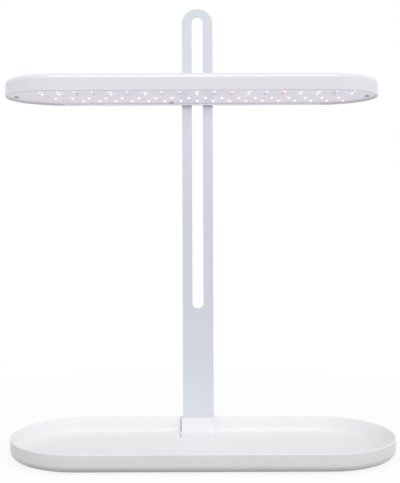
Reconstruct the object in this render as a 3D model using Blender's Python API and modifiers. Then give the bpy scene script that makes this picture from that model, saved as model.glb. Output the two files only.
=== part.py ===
"""LED grow lamp: a long plant tray, a slotted mast and a lamp head that slides on it.

Metres, +Z up, the front faces -Y.  The lamp stands on four rubber feet at Z = 0.
"""

import math

import bmesh
import bpy
from mathutils import Matrix, Vector

# Clearances
fit_gap = 0.0003
cut_overrun = 0.002
weld_distance = 0.00001
join_depth = 0.0006

# Roundness of arcs
end_steps = 32
slot_steps = 14
edge_steps = 4
turned_steps = 20
small_steps = 12
socket_sides = 6

# Angles that tell edges apart
smooth_angle = math.radians(35)
corner_angle = math.radians(60)
flat_angle = math.radians(1)

# Tray
tray_length = 0.450
tray_depth = 0.172
tray_height = 0.021
tray_wall = 0.0024
tray_edge_radius = 0.009
rim_round = 0.0005

# Rubber feet
foot_radius = 0.007
foot_height = 0.0012
foot_inset = 0.030

# Mast
mast_width = 0.039
mast_thickness = 0.003
mast_top_above_rim = 0.520
mast_edge_round = 0.0004
mast_offset = -0.0056
mast_setback = 0.0027
slot_width = 0.014
slot_bottom_above_rim = 0.138
slot_top_metal = 0.010

# Bracket that holds the mast in the tray
bracket_front_wall = 0.0035
bracket_back_wall = 0.003
bracket_side_wall = 0.0017
bracket_floor = 0.0012
bracket_drop = 0.0005
bracket_fillet = 0.010
bracket_fillet_steps = 6
tongue_length = 0.025
tongue_thickness = 0.001
notch_side_gap = 0.0015
flange_width = 0.064
flange_base_height = 0.001
flange_step = 0.0003

# Fasteners of the bracket
bracket_screw_radius = 0.0019
bracket_screw_head_radius = 0.0036
bracket_screw_head_height = 0.0022
bracket_screw_tip_wall = 0.0010
bracket_screw_spacing = 0.022
bracket_screw_height = 0.0105
floor_screw_radius = 0.00125
floor_screw_head_radius = 0.0028
floor_screw_head_height = 0.0007
floor_screw_spacing = 0.026
floor_screw_inset = 0.0095
floor_screw_engagement = 0.0016

# Lamp head
head_length = 0.442
head_depth = 0.130
head_height = 0.0201
head_wall = 0.002
head_edge_radius = 0.0065
head_above_rim = 0.3964
head_offset = -0.0064
panel_recess = 0.0025

# Light panel and its packages
board_thickness = 0.0016
board_edge_gap = 0.0005
package_length = 0.0035
package_width = 0.0028
package_height = 0.0009
package_pitch = 0.020
package_end_margin = 0.0395
package_row_offsets = (-0.0421, -0.0248, 0.0092, 0.0347)
row_start_columns = (0, 0, 0.5, 2)
board_screw_radius = 0.0013
board_screw_head_radius = 0.0029
board_screw_head_height = 0.0013
board_screw_reach = 0.007
board_screw_end_inset = 0.012
board_screw_front_inset = 0.0065
board_screw_rear_inset = 0.0125
board_screw_side_offset = -0.026
boss_radius = 0.0036

# Heat spreader
spreader_thickness = 0.0015
spreader_end_inset = 0.034
spreader_front_inset = 0.028
spreader_back_inset = 0.034

# Driver electronics
driver_length = 0.080
driver_depth = 0.024
driver_thickness = 0.0016
driver_offset = 0.075
driver_wall_gap = 0.002
driver_pad_thickness = 0.001
driver_pad_inset = 0.002
jack_width = 0.009
jack_height = 0.007
jack_depth = 0.012
jack_offset = -0.015
jack_nose_radius = 0.0032
jack_bore_radius = 0.0026
jack_bore_depth = 0.0085
jack_pin_radius = 0.0009
jack_pin_setback = 0.0015
capacitor_radius = 0.0035
capacitor_height = 0.0072
capacitor_inset = 0.009
coil_radius = 0.0045
coil_height = 0.0055
coil_waist_radius = 0.0032
coil_flange = 0.0011
coil_offset = 0.004
regulator_length = 0.010
regulator_width = 0.007
regulator_height = 0.0023
regulator_offset = -0.0115
regulator_setback = 0.006
lead_radius = 0.0007
lead_rise = 0.0035
lead_reach = 0.010
lead_spacing = 0.006
lead_inset = 0.003
lead_points = 15

# Power button and its switch
button_radius = 0.0065
button_rise = 0.0012
button_travel = 0.0012
button_flange_radius = 0.0080
button_flange_thickness = 0.001
button_edge_round = 0.0005
button_offset = 0.025
stem_radius = 0.0015
switch_width = 0.007
switch_height = 0.004
switch_floor = 0.001

# Hanger plate on the head's rear wall
hanger_width = 0.036
hanger_thickness = 0.0025
hanger_corner = 0.006
hanger_foot_height = 0.002
hanger_screw_radius = 0.0017
hanger_screw_head_radius = 0.0031
hanger_screw_head_height = 0.0018
hanger_screw_spacing = 0.022
hanger_screw_height = 0.009

# Clamp that holds the head on the mast
clamp_height = 0.026
shoe_length = 0.034
shoe_height = 0.022
shoe_thickness = 0.001
key_height = 0.020
bolt_radius = 0.0025
bolt_head_radius = 0.0052
bolt_head_height = 0.0022
washer_radius = 0.009
washer_thickness = 0.0015
knob_radius = 0.0135
knob_depth = 0.014
knob_lobes = 6
knob_lobe_depth = 0.002
knob_lobe_steps = 8
knob_edge_round = 0.0012
knob_back_wall = 0.0025
insert_radius = 0.005
insert_length = 0.009
bolt_end_gap = 0.001

# Screw recesses
recess_radius_share = 0.55
recess_depth_share = 0.6

# Heights worked out from the sizes above
tray_base_z = foot_height + fit_gap
rim_z = tray_base_z + tray_height
floor_z = tray_base_z + tray_wall
mast_top_z = rim_z + mast_top_above_rim
slot_bottom_z = rim_z + slot_bottom_above_rim
slot_top_z = mast_top_z - slot_top_metal
head_z = rim_z + head_above_rim
head_top_z = head_z + head_height
roof_z = head_top_z - head_wall
board_z = head_z + panel_recess
board_top_z = board_z + board_thickness
clamp_z = head_z + clamp_height
hanger_screw_z = head_z + hanger_screw_height

# Widths that follow from what fits inside
pocket_width = mast_width + 2 * fit_gap
bracket_width = pocket_width + 2 * bracket_side_wall
notch_width = bracket_width + notch_side_gap + fit_gap
tongue_recess = tongue_thickness + fit_gap
bore_radius = bolt_radius + fit_gap
package_columns = 1 + int((head_length - 2 * package_end_margin) / package_pitch)

# The part's origin is the middle of its outer box, so the tray's centre is found from the reaches
head_from_tray = mast_offset + head_offset
left_reach = max(tray_length / 2, head_length / 2 - head_from_tray)
right_reach = max(tray_length / 2, head_length / 2 + head_from_tray)
tray_x = (left_reach - right_reach) / 2
knob_front_offset = mast_thickness - mast_setback + washer_thickness + 2 * fit_gap
back_reach = tray_depth / 2 + knob_front_offset + knob_depth
tray_y = (tray_depth / 2 - back_reach) / 2

# Places along X and Y
mast_x = tray_x + mast_offset
head_x = mast_x + head_offset
rear_y = tray_y + tray_depth / 2
mast_front_y = rear_y - mast_setback
mast_back_y = mast_front_y + mast_thickness
bracket_front_y = mast_front_y - fit_gap - bracket_front_wall
bracket_back_y = mast_back_y + fit_gap + bracket_back_wall
shoe_front_y = mast_front_y - shoe_thickness - fit_gap
hanger_front_y = shoe_front_y - hanger_thickness - fit_gap
head_rear_y = hanger_front_y - fit_gap
head_y = head_rear_y - head_depth / 2
knob_front_y = rear_y + knob_front_offset
washer_front_y = mast_back_y + fit_gap
driver_x = head_x + driver_offset
driver_y = head_rear_y - head_wall - driver_wall_gap - driver_depth / 2
driver_z = board_top_z + driver_pad_thickness + 2 * fit_gap
parts_z = driver_z + driver_thickness + fit_gap
jack_x = driver_x + jack_offset
jack_z = board_top_z + fit_gap + jack_height / 2
button_x = driver_x + button_offset
flange_top_z = roof_z - fit_gap
tongue_base_z = floor_z - tongue_recess + fit_gap


def start_scene():
    """Remove every object and make the collections for parts and cutters."""
    for thing in list(bpy.data.objects):
        bpy.data.objects.remove(thing, do_unlink=True)
    groups = []
    for title in ("LED grow lamp", "Cutters"):
        group = bpy.data.collections.new(title)
        bpy.context.scene.collection.children.link(group)
        groups.append(group)
    return groups


lamp_group, cutter_group = start_scene()


def new_object(name, mesh):
    """Put a mesh into the scene as a named object."""
    thing = bpy.data.objects.new(name, mesh)
    lamp_group.objects.link(thing)
    return thing


def mesh_from(bm, name):
    """Turn a bmesh into a mesh and free it."""
    mesh = bpy.data.meshes.new(name)
    bm.to_mesh(mesh)
    bm.free()
    return mesh


def empty(name, place):
    """Add an empty that carries a moving group."""
    holder = bpy.data.objects.new(name, None)
    holder.location = place
    lamp_group.objects.link(holder)
    return holder


def dress(thing, colour, roughness, metallic=0.0):
    """Give a piece its own Principled material and smooth shading."""
    material = bpy.data.materials.new(thing.name)
    material.use_nodes = True
    shader = material.node_tree.nodes["Principled BSDF"]
    shader.inputs["Base Color"].default_value = (*colour, 1.0)
    shader.inputs["Roughness"].default_value = roughness
    shader.inputs["Metallic"].default_value = metallic
    thing.data.materials.append(material)
    thing.data.shade_smooth()
    thing.data.set_sharp_from_angle(angle=smooth_angle)
    return thing


def carry(thing, holder):
    """Parent a piece to an empty and keep its place in the world."""
    thing.parent = holder
    thing.location = thing.location - holder.location
    return thing


def stadium(length, width, steps, centre=(0, 0)):
    """Outline of a slab with round ends, its length along X."""
    radius = width / 2
    reach = length / 2 - radius
    points = []
    for side in (1, -1):
        for step in range(steps + 1):
            angle = side * math.pi / 2 * (2 * step / steps - 1)
            x = side * (reach + radius * math.cos(angle))
            points.append((centre[0] + x, centre[1] + radius * math.sin(angle)))
    return points


def rounded_rectangle(width, height, corner, steps):
    """Outline of a rectangle with round corners about the origin."""
    points = []
    for quarter in range(4):
        side_x = 1 if quarter in (0, 3) else -1
        side_y = 1 if quarter < 2 else -1
        for step in range(steps + 1):
            angle = math.pi / 2 * (quarter + step / steps)
            points.append((side_x * (width / 2 - corner) + corner * math.cos(angle),
                           side_y * (height / 2 - corner) + corner * math.sin(angle)))
    return points


def slab(name, outlines, thickness, edge_round=0):
    """Mesh object of a filled 2D curve, from Z = 0 up to its thickness."""
    curve = bpy.data.curves.new(name + "_outline", "CURVE")
    curve.dimensions = "2D"
    curve.fill_mode = "BOTH"
    curve.extrude = thickness / 2 - edge_round
    curve.bevel_depth = edge_round
    curve.bevel_resolution = 1
    curve.offset = -edge_round
    for outline in outlines:
        spline = curve.splines.new("POLY")
        spline.points.add(len(outline) - 1)
        for point, (x, y) in zip(spline.points, outline):
            point.co = (x, y, 0, 1)
        spline.use_cyclic_u = True
    return curve_to_mesh(name, curve, Matrix.Translation((0, 0, thickness / 2)))


def curve_to_mesh(name, curve, move):
    """Make a curve a welded mesh object and remove the curve."""
    source = bpy.data.objects.new(name + "_curve", curve)
    bpy.context.scene.collection.objects.link(source)
    graph = bpy.context.evaluated_depsgraph_get()
    mesh = bpy.data.meshes.new_from_object(source.evaluated_get(graph))
    mesh.name = name
    bm = bmesh.new()
    bm.from_mesh(mesh)
    bmesh.ops.remove_doubles(bm, verts=bm.verts, dist=weld_distance)
    bmesh.ops.transform(bm, matrix=move, verts=bm.verts)
    bmesh.ops.recalc_face_normals(bm, faces=bm.faces)
    bm.to_mesh(mesh)
    bm.free()
    bpy.data.objects.remove(source, do_unlink=True)
    bpy.data.curves.remove(curve)
    return new_object(name, mesh)


def open_slab(name, outline, height, open_top):
    """Walls and one cap of a slab, with the other cap left out."""
    thing = slab(name, [outline], height)
    bm = bmesh.new()
    bm.from_mesh(thing.data)
    bmesh.ops.dissolve_limit(bm, angle_limit=flat_angle, verts=bm.verts, edges=bm.edges)
    wanted = 1 if open_top else -1
    lids = [face for face in bm.faces if face.normal.z * wanted > math.cos(flat_angle)]
    bmesh.ops.delete(bm, geom=lids, context="FACES")
    bm.to_mesh(thing.data)
    bm.free()
    return thing


def box(name, low, high):
    """Box between two corners."""
    low, high = Vector(low), Vector(high)
    bm = bmesh.new()
    bmesh.ops.create_cube(bm, size=1)
    bmesh.ops.scale(bm, vec=high - low, verts=bm.verts)
    thing = new_object(name, mesh_from(bm, name))
    thing.location = (low + high) / 2
    return thing


def rod(name, radius, start, end, steps=turned_steps):
    """Cylinder between two points."""
    start, end = Vector(start), Vector(end)
    run = end - start
    bm = bmesh.new()
    bmesh.ops.create_cone(bm, cap_ends=True, segments=steps, radius1=radius,
                          radius2=radius, depth=run.length)
    turn = Vector((0, 0, 1)).rotation_difference(run).to_matrix()
    bmesh.ops.rotate(bm, matrix=turn, verts=bm.verts)
    thing = new_object(name, mesh_from(bm, name))
    thing.location = (start + end) / 2
    return thing


def turned(name, profile, steps=turned_steps):
    """Solid turned about Z from (radius, height) points, listed top to bottom."""
    bm = bmesh.new()
    points = [bm.verts.new((radius, 0, height)) for radius, height in profile]
    for upper, lower in zip(points, points[1:]):
        bm.edges.new((upper, lower))
    thing = new_object(name, mesh_from(bm, name))
    screw = thing.modifiers.new("Turn", "SCREW")
    screw.steps = steps
    screw.render_steps = steps
    screw.use_merge_vertices = True
    screw.merge_threshold = weld_distance
    return thing


def hide_cutter(cutter):
    """Show a cutter as wire and leave it out of renders."""
    cutter.hide_render = True
    cutter.display_type = "WIRE"
    cutter_group.objects.link(cutter)
    lamp_group.objects.unlink(cutter)


def combine(thing, cutter, operation="DIFFERENCE"):
    """Cut or join a piece with an exact Boolean."""
    hide_cutter(cutter)
    modifier = thing.modifiers.new(operation.title(), "BOOLEAN")
    modifier.operation = operation
    modifier.solver = "EXACT"
    modifier.object = cutter


def round_edges(thing, radius, steps, angle):
    """Bevel the edges sharper than an angle."""
    bevel = thing.modifiers.new("Round", "BEVEL")
    bevel.width = radius
    bevel.segments = steps
    bevel.limit_method = "ANGLE"
    bevel.angle_limit = angle


def give_wall(thing, wall):
    """Thicken an open surface inwards."""
    solid = thing.modifiers.new("Wall", "SOLIDIFY")
    solid.thickness = wall
    solid.offset = -1
    solid.use_even_offset = True


def pan_screw(name, head_radius, head_height, shank_radius, shank_length):
    """Screw with its head's seat at Z = 0, its head upwards and a hexagon socket."""
    crown = head_height * recess_depth_share
    screw = turned(name, [
        (0, head_height), (head_radius - crown / 2, head_height),
        (head_radius, head_height - crown / 2), (head_radius, 0),
        (shank_radius, 0), (shank_radius, shank_radius - shank_length),
        (shank_radius / 2, -shank_length), (0, -shank_length)], small_steps)
    socket = rod(name + "_socket", shank_radius * 2 * recess_radius_share,
                 (0, 0, head_height - crown), (0, 0, head_height + cut_overrun), socket_sides)
    socket.parent = screw
    combine(screw, socket)
    return screw


def make_tray():
    """Shallow tray with round ends, a rounded lower edge and a notch for the bracket."""
    outline = stadium(tray_length, tray_depth, end_steps, (tray_x, tray_y))
    tray = open_slab("tray", outline, tray_height, open_top=True)
    tray.location.z = tray_base_z
    round_edges(tray, tray_edge_radius, edge_steps, corner_angle)
    give_wall(tray, tray_wall)
    round_edges(tray, rim_round, 1, corner_angle)
    notch_left = mast_x - bracket_width / 2 - notch_side_gap
    notch_front = bracket_front_y - tongue_length - fit_gap
    combine(tray, box("notch_cutter",
                      (notch_left, notch_front, floor_z - tongue_recess),
                      (notch_left + notch_width, rear_y + cut_overrun, rim_z + cut_overrun)))
    for side, x in pair_places(floor_screw_spacing):
        combine(tray, rod("tray_hole_" + side, floor_screw_radius + fit_gap,
                          (x, rear_y - floor_screw_inset, tray_base_z - cut_overrun),
                          (x, rear_y - floor_screw_inset, floor_z), small_steps))
    dress(tray, (0.86, 0.86, 0.87), 0.2)


def pair_places(spacing):
    """Names and X places of two screws, one on each side of the mast's middle."""
    return (("left", mast_x - spacing / 2), ("right", mast_x + spacing / 2))


def bracket_profile():
    """Side outline of the bracket as (y, z): tongue, curved foot and socket block."""
    top = rim_z - bracket_drop
    tongue_front = bracket_front_y - tongue_length
    tongue_top = tongue_base_z + tongue_thickness
    outline = [(tongue_front, tongue_base_z), (bracket_back_y, tongue_base_z),
               (bracket_back_y, top), (bracket_front_y, top)]
    centre_y = bracket_front_y - bracket_fillet
    centre_z = tongue_top + bracket_fillet
    for step in range(bracket_fillet_steps + 1):
        angle = -math.pi / 2 * step / bracket_fillet_steps
        outline.append((centre_y + bracket_fillet * math.cos(angle),
                        centre_z + bracket_fillet * math.sin(angle)))
    outline.append((tongue_front + tongue_thickness / 2, tongue_top))
    return outline


def make_bracket():
    """Socket block that holds the mast, with a tongue on the floor and a rear flange."""
    bracket = slab("mast_bracket", [bracket_profile()], bracket_width)
    axes = Matrix(((0, 0, 1), (1, 0, 0), (0, 1, 0))).to_4x4()
    bracket.data.transform(axes)
    bracket.location.x = mast_x - bracket_width / 2
    flange = box("bracket_flange",
                 (mast_x - flange_width / 2, rear_y + fit_gap, tray_base_z + flange_base_height),
                 (mast_x + flange_width / 2, bracket_back_y - flange_step,
                  rim_z - bracket_drop - flange_step))
    combine(bracket, flange, "UNION")
    pocket_floor = tongue_base_z + bracket_floor
    combine(bracket, box("mast_pocket",
                         (mast_x - pocket_width / 2, mast_front_y - fit_gap, pocket_floor),
                         (mast_x + pocket_width / 2, mast_back_y + fit_gap,
                          rim_z + cut_overrun)))
    screw_z = tray_base_z + bracket_screw_height
    for side, x in pair_places(bracket_screw_spacing):
        combine(bracket, rod("bracket_hole_" + side, bracket_screw_radius + fit_gap,
                             (x, bracket_front_y + bracket_screw_tip_wall, screw_z),
                             (x, bracket_back_y + cut_overrun, screw_z), small_steps))
    for side, x in pair_places(floor_screw_spacing):
        tip = tongue_base_z + floor_screw_engagement + fit_gap
        combine(bracket, rod("tongue_hole_" + side, floor_screw_radius + fit_gap,
                             (x, rear_y - floor_screw_inset, tongue_base_z - cut_overrun),
                             (x, rear_y - floor_screw_inset, tip), small_steps))
    dress(bracket, (0.84, 0.84, 0.87), 0.28)


def make_bracket_screws():
    """Two screws from behind through the mast, and two from below into the tongue."""
    screw_z = tray_base_z + bracket_screw_height
    seat_y = bracket_back_y + fit_gap
    reach = seat_y - bracket_front_y - bracket_screw_tip_wall - fit_gap
    for side, x in pair_places(bracket_screw_spacing):
        screw = pan_screw("bracket_screw_" + side, bracket_screw_head_radius,
                          bracket_screw_head_height, bracket_screw_radius, reach)
        screw.rotation_euler.x = -math.pi / 2
        screw.location = (x, seat_y, screw_z)
        dress(screw, (0.55, 0.55, 0.57), 0.3, 1.0)
    seat_z = tray_base_z - fit_gap
    reach = tongue_base_z + floor_screw_engagement - seat_z
    for side, x in pair_places(floor_screw_spacing):
        screw = pan_screw("floor_screw_" + side, floor_screw_head_radius,
                          floor_screw_head_height, floor_screw_radius, reach)
        screw.rotation_euler.x = math.pi
        screw.location = (x, rear_y - floor_screw_inset, seat_z)
        dress(screw, (0.55, 0.55, 0.57), 0.3, 1.0)


def make_feet():
    """Four rubber pads under the tray."""
    reach_x = (tray_length - tray_depth) / 2
    reach_y = tray_depth / 2 - foot_inset
    for row, y in (("front", tray_y - reach_y), ("rear", tray_y + reach_y)):
        for side, x in (("left", tray_x - reach_x), ("right", tray_x + reach_x)):
            foot = rod(f"foot_{row}_{side}", foot_radius, (x, y, 0), (x, y, foot_height))
            dress(foot, (0.12, 0.12, 0.12), 0.85)


def make_mast():
    """Flat bar with a round top and a long slot, standing in the bracket's pocket."""
    foot_z = tongue_base_z + bracket_floor + fit_gap
    radius = mast_width / 2
    outline = [(-radius, foot_z), (radius, foot_z)]
    for step in range(2 * slot_steps + 1):
        angle = math.pi * step / (2 * slot_steps)
        outline.append((radius * math.cos(angle), mast_top_z - radius + radius * math.sin(angle)))
    slot_length = slot_top_z - slot_bottom_z
    middle = (slot_top_z + slot_bottom_z) / 2
    slot = [(-y, middle + x) for x, y in stadium(slot_length, slot_width, slot_steps)]
    mast = slab("mast", [outline, slot], mast_thickness, mast_edge_round)
    mast.data.transform(Matrix.Rotation(math.pi / 2, 4, "X"))
    mast.location = (mast_x, mast_back_y, 0)
    screw_z = tray_base_z + bracket_screw_height
    for side, x in pair_places(bracket_screw_spacing):
        combine(mast, rod("mast_hole_" + side, bracket_screw_radius + fit_gap,
                          (x, mast_front_y - cut_overrun, screw_z),
                          (x, mast_back_y + cut_overrun, screw_z), small_steps))
    dress(mast, (0.68, 0.70, 0.75), 0.4)


def board_screw_places():
    """Names and places of the four screws that hold the light panel."""
    end = head_length / 2 - board_screw_end_inset
    middle = head_x + board_screw_side_offset
    front = head_y - head_depth / 2 + board_screw_front_inset
    rear = head_rear_y - board_screw_rear_inset
    return (("left", head_x - end, head_y), ("right", head_x + end, head_y),
            ("front", middle, front), ("rear", middle, rear))


def make_head_shell(holder):
    """Inverted shell with round ends, screw bosses and holes for jack, screws and button."""
    outline = stadium(head_length, head_depth, end_steps, (head_x, head_y))
    shell = open_slab("head_shell", outline, head_height, open_top=False)
    shell.location.z = head_z
    round_edges(shell, head_edge_radius, edge_steps, corner_angle)
    give_wall(shell, head_wall)
    round_edges(shell, rim_round, 1, corner_angle)
    boss_foot = board_top_z + fit_gap
    for name, x, y in board_screw_places():
        combine(shell, rod("boss_" + name, boss_radius, (x, y, boss_foot),
                           (x, y, roof_z + join_depth), small_steps), "UNION")
        combine(shell, rod("boss_bore_" + name, board_screw_radius + fit_gap,
                           (x, y, boss_foot - cut_overrun),
                           (x, y, board_z + board_screw_reach), small_steps))
    combine(shell, rod("jack_hole", jack_nose_radius + fit_gap,
                       (jack_x, head_rear_y - head_wall - cut_overrun, jack_z),
                       (jack_x, head_rear_y + cut_overrun, jack_z)))
    for side, x in pair_places(hanger_screw_spacing):
        combine(shell, rod("wall_hole_" + side, hanger_screw_radius + fit_gap,
                           (x, head_rear_y - head_wall - cut_overrun, hanger_screw_z),
                           (x, head_rear_y + cut_overrun, hanger_screw_z), small_steps))
    combine(shell, rod("button_hole", button_radius + fit_gap,
                       (button_x, driver_y, roof_z - cut_overrun),
                       (button_x, driver_y, head_top_z + cut_overrun)))
    carry(dress(shell, (0.88, 0.88, 0.90), 0.22), holder)


def package_places():
    """Places of the light packages: rows that start some columns in from the left."""
    places = []
    first_x = mast_x - (package_columns - 1) * package_pitch / 2
    for offset, start in zip(package_row_offsets, row_start_columns):
        for column in range(package_columns - math.ceil(start)):
            places.append((first_x + (start + column) * package_pitch, head_y + offset))
    return places


def make_led_board(holder):
    """White light panel with its packages standing on the lower face."""
    inset = 2 * (head_wall + board_edge_gap)
    outline = stadium(head_length - inset, head_depth - inset, end_steps, (head_x, head_y))
    board = slab("led_board", [outline], board_thickness)
    board.location.z = board_z
    bm = bmesh.new()
    size = Vector((package_length, package_width, package_height + join_depth))
    middle_z = board_z + (join_depth - package_height) / 2
    for x, y in package_places():
        place = Matrix.Translation((x, y, middle_z)) @ Matrix.Diagonal((*size, 1))
        bmesh.ops.create_cube(bm, size=1, matrix=place)
    packages = new_object("led_packages", mesh_from(bm, "led_packages"))
    combine(board, packages, "UNION")
    for name, x, y in board_screw_places():
        combine(board, rod("board_hole_" + name, board_screw_radius + fit_gap,
                           (x, y, board_z - cut_overrun), (x, y, board_top_z + cut_overrun),
                           small_steps))
    carry(dress(board, (0.82, 0.80, 0.86), 0.45), holder)


def make_board_screws(holder):
    """Plated screws that hold the light panel up against the bosses."""
    seat_z = board_z - fit_gap
    reach = board_z + board_screw_reach - fit_gap - seat_z
    for name, x, y in board_screw_places():
        screw = pan_screw("board_screw_" + name, board_screw_head_radius,
                          board_screw_head_height, board_screw_radius, reach)
        screw.rotation_euler.x = math.pi
        screw.location = (x, y, seat_z)
        carry(dress(screw, (0.42, 0.42, 0.44), 0.38, 1.0), holder)


def make_spreader(holder):
    """Aluminium plate on the back of the light panel."""
    base = board_top_z + fit_gap
    plate = box("heat_spreader",
                (head_x - head_length / 2 + spreader_end_inset,
                 head_y - head_depth / 2 + spreader_front_inset, base),
                (head_x + head_length / 2 - spreader_end_inset,
                 head_rear_y - spreader_back_inset, base + spreader_thickness))
    carry(dress(plate, (0.75, 0.76, 0.77), 0.35, 1.0), holder)


def make_driver(holder):
    """Driver board on its pad, with the parts that stand on it."""
    pad_z = board_top_z + fit_gap
    half = driver_length / 2
    deep = driver_depth / 2
    pad = box("driver_pad",
              (jack_x + jack_width, driver_y - deep + driver_pad_inset, pad_z),
              (driver_x + half - driver_pad_inset, driver_y + deep - driver_pad_inset,
               pad_z + driver_pad_thickness))
    carry(dress(pad, (0.45, 0.47, 0.50), 0.8), holder)

    board = box("driver_board", (driver_x - half, driver_y - deep, driver_z),
                (driver_x + half, driver_y + deep, driver_z + driver_thickness))
    jack_front = head_rear_y - head_wall - jack_depth
    combine(board, box("jack_notch",
                       (jack_x - jack_width / 2 - fit_gap, jack_front - fit_gap,
                        driver_z - cut_overrun),
                       (jack_x + jack_width / 2 + fit_gap, driver_y + deep + cut_overrun,
                        driver_z + driver_thickness + cut_overrun)))
    carry(dress(board, (0.05, 0.30, 0.12), 0.5), holder)

    capacitor_x = driver_x - half + capacitor_inset
    capacitor = rod("filter_capacitor", capacitor_radius, (capacitor_x, driver_y, parts_z),
                    (capacitor_x, driver_y, parts_z + capacitor_height), small_steps)
    carry(dress(capacitor, (0.06, 0.06, 0.10), 0.4), holder)

    coil = turned("power_coil", [
        (0, coil_height), (coil_radius, coil_height),
        (coil_radius, coil_height - coil_flange),
        (coil_waist_radius, coil_height - coil_flange), (coil_waist_radius, coil_flange),
        (coil_radius, coil_flange), (coil_radius, 0), (0, 0)], small_steps)
    coil.location = (driver_x + coil_offset, driver_y, parts_z)
    carry(dress(coil, (0.10, 0.09, 0.09), 0.6), holder)

    low = Vector((driver_x + regulator_offset - regulator_length / 2,
                  driver_y - regulator_setback - regulator_width / 2, parts_z))
    high = low + Vector((regulator_length, regulator_width, regulator_height))
    regulator = box("led_regulator", low, high)
    carry(dress(regulator, (0.04, 0.04, 0.04), 0.5), holder)


def make_jack(holder):
    """Supply socket in the rear wall, with its round bore and centre pin."""
    front = head_rear_y - head_wall - jack_depth
    inner = head_rear_y - head_wall - fit_gap
    jack = box("dc_jack", (jack_x - jack_width / 2, front, board_top_z + fit_gap),
               (jack_x + jack_width / 2, inner, board_top_z + fit_gap + jack_height))
    combine(jack, rod("jack_nose", jack_nose_radius, (jack_x, inner - join_depth, jack_z),
                      (jack_x, head_rear_y, jack_z)), "UNION")
    bore_end = head_rear_y - jack_bore_depth
    combine(jack, rod("jack_bore", jack_bore_radius, (jack_x, bore_end, jack_z),
                      (jack_x, head_rear_y + cut_overrun, jack_z)))
    combine(jack, rod("jack_pin", jack_pin_radius, (jack_x, bore_end - join_depth, jack_z),
                      (jack_x, head_rear_y - jack_pin_setback, jack_z), small_steps), "UNION")
    carry(dress(jack, (0.03, 0.03, 0.03), 0.45), holder)


def make_leads(holder):
    """Two short leads from the driver board over its end to the light panel."""
    driver_top = driver_z + driver_thickness + fit_gap
    panel_top = board_top_z + fit_gap
    start_x = driver_x - driver_length / 2 + lead_inset
    for name, side, colour in (("lead_positive", 1, (0.55, 0.03, 0.03)),
                               ("lead_negative", -1, (0.03, 0.03, 0.03))):
        y = driver_y + side * lead_spacing / 2 - lead_reach / 2
        corners = [Vector((start_x, y, driver_top)),
                   Vector((start_x, y, driver_top + lead_rise)),
                   Vector((start_x - lead_reach, y, driver_top + lead_rise)),
                   Vector((start_x - lead_reach, y, panel_top))]
        curve = bpy.data.curves.new(name, "CURVE")
        curve.dimensions = "3D"
        curve.bevel_depth = lead_radius
        curve.bevel_resolution = 1
        curve.use_fill_caps = True
        spline = curve.splines.new("POLY")
        spline.points.add(lead_points - 1)
        for index, point in enumerate(spline.points):
            share = index / (lead_points - 1)
            rest = 1 - share
            place = (corners[0] * rest ** 3 + corners[1] * 3 * rest ** 2 * share
                     + corners[2] * 3 * rest * share ** 2 + corners[3] * share ** 3)
            point.co = (*place, 1)
        lead = curve_to_mesh(name, curve, Matrix.Identity(4))
        carry(dress(lead, colour, 0.5), holder)


def make_switch(holder):
    """Push switch on the driver board, with a well for the button's stem."""
    half = switch_width / 2
    switch = box("push_switch", (button_x - half, driver_y - half, parts_z),
                 (button_x + half, driver_y + half, parts_z + switch_height))
    combine(switch, rod("switch_well", stem_radius + fit_gap,
                        (button_x, driver_y, parts_z + switch_floor),
                        (button_x, driver_y, parts_z + switch_height + cut_overrun),
                        small_steps))
    carry(dress(switch, (0.08, 0.08, 0.09), 0.5), holder)


def make_button(holder):
    """Round power button: a cap through the roof, a flange below it and a stem."""
    top = head_top_z + button_rise - flange_top_z
    stem_foot = parts_z + switch_floor + button_travel + fit_gap - flange_top_z
    button = turned("power_button", [
        (0, top), (button_radius - button_edge_round, top),
        (button_radius, top - button_edge_round), (button_radius, 0),
        (button_flange_radius, 0), (button_flange_radius, -button_flange_thickness),
        (stem_radius, -button_flange_thickness), (stem_radius, stem_foot), (0, stem_foot)])
    button.location = (button_x, driver_y, flange_top_z)
    carry(dress(button, (0.70, 0.71, 0.73), 0.35), holder)


def make_hanger(holder):
    """Steel plate on the head's rear wall, rising above it, with its two screws."""
    top = clamp_z + shoe_height / 2
    foot = head_z + hanger_foot_height
    outline = rounded_rectangle(hanger_width, top - foot, hanger_corner, slot_steps // 2)
    plate = slab("hanger_plate", [outline], hanger_thickness, mast_edge_round)
    plate.data.transform(Matrix.Rotation(math.pi / 2, 4, "X"))
    plate.location = (mast_x, hanger_front_y + hanger_thickness, (top + foot) / 2)
    end_y = hanger_front_y + hanger_thickness + cut_overrun
    combine(plate, rod("bolt_hole", bore_radius, (mast_x, hanger_front_y - cut_overrun, clamp_z),
                       (mast_x, end_y, clamp_z)))
    for side, x in pair_places(hanger_screw_spacing):
        combine(plate, rod("hanger_hole_" + side, hanger_screw_radius + fit_gap,
                           (x, hanger_front_y - cut_overrun, hanger_screw_z),
                           (x, end_y, hanger_screw_z), small_steps))
    carry(dress(plate, (0.84, 0.84, 0.86), 0.35), holder)
    seat_y = head_rear_y - head_wall - fit_gap
    reach = hanger_front_y + hanger_thickness - fit_gap - seat_y
    for side, x in pair_places(hanger_screw_spacing):
        screw = pan_screw("hanger_screw_" + side, hanger_screw_head_radius,
                          hanger_screw_head_height, hanger_screw_radius, reach)
        screw.rotation_euler.x = math.pi / 2
        screw.location = (x, seat_y, hanger_screw_z)
        carry(dress(screw, (0.55, 0.55, 0.57), 0.3, 1.0), holder)


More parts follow.
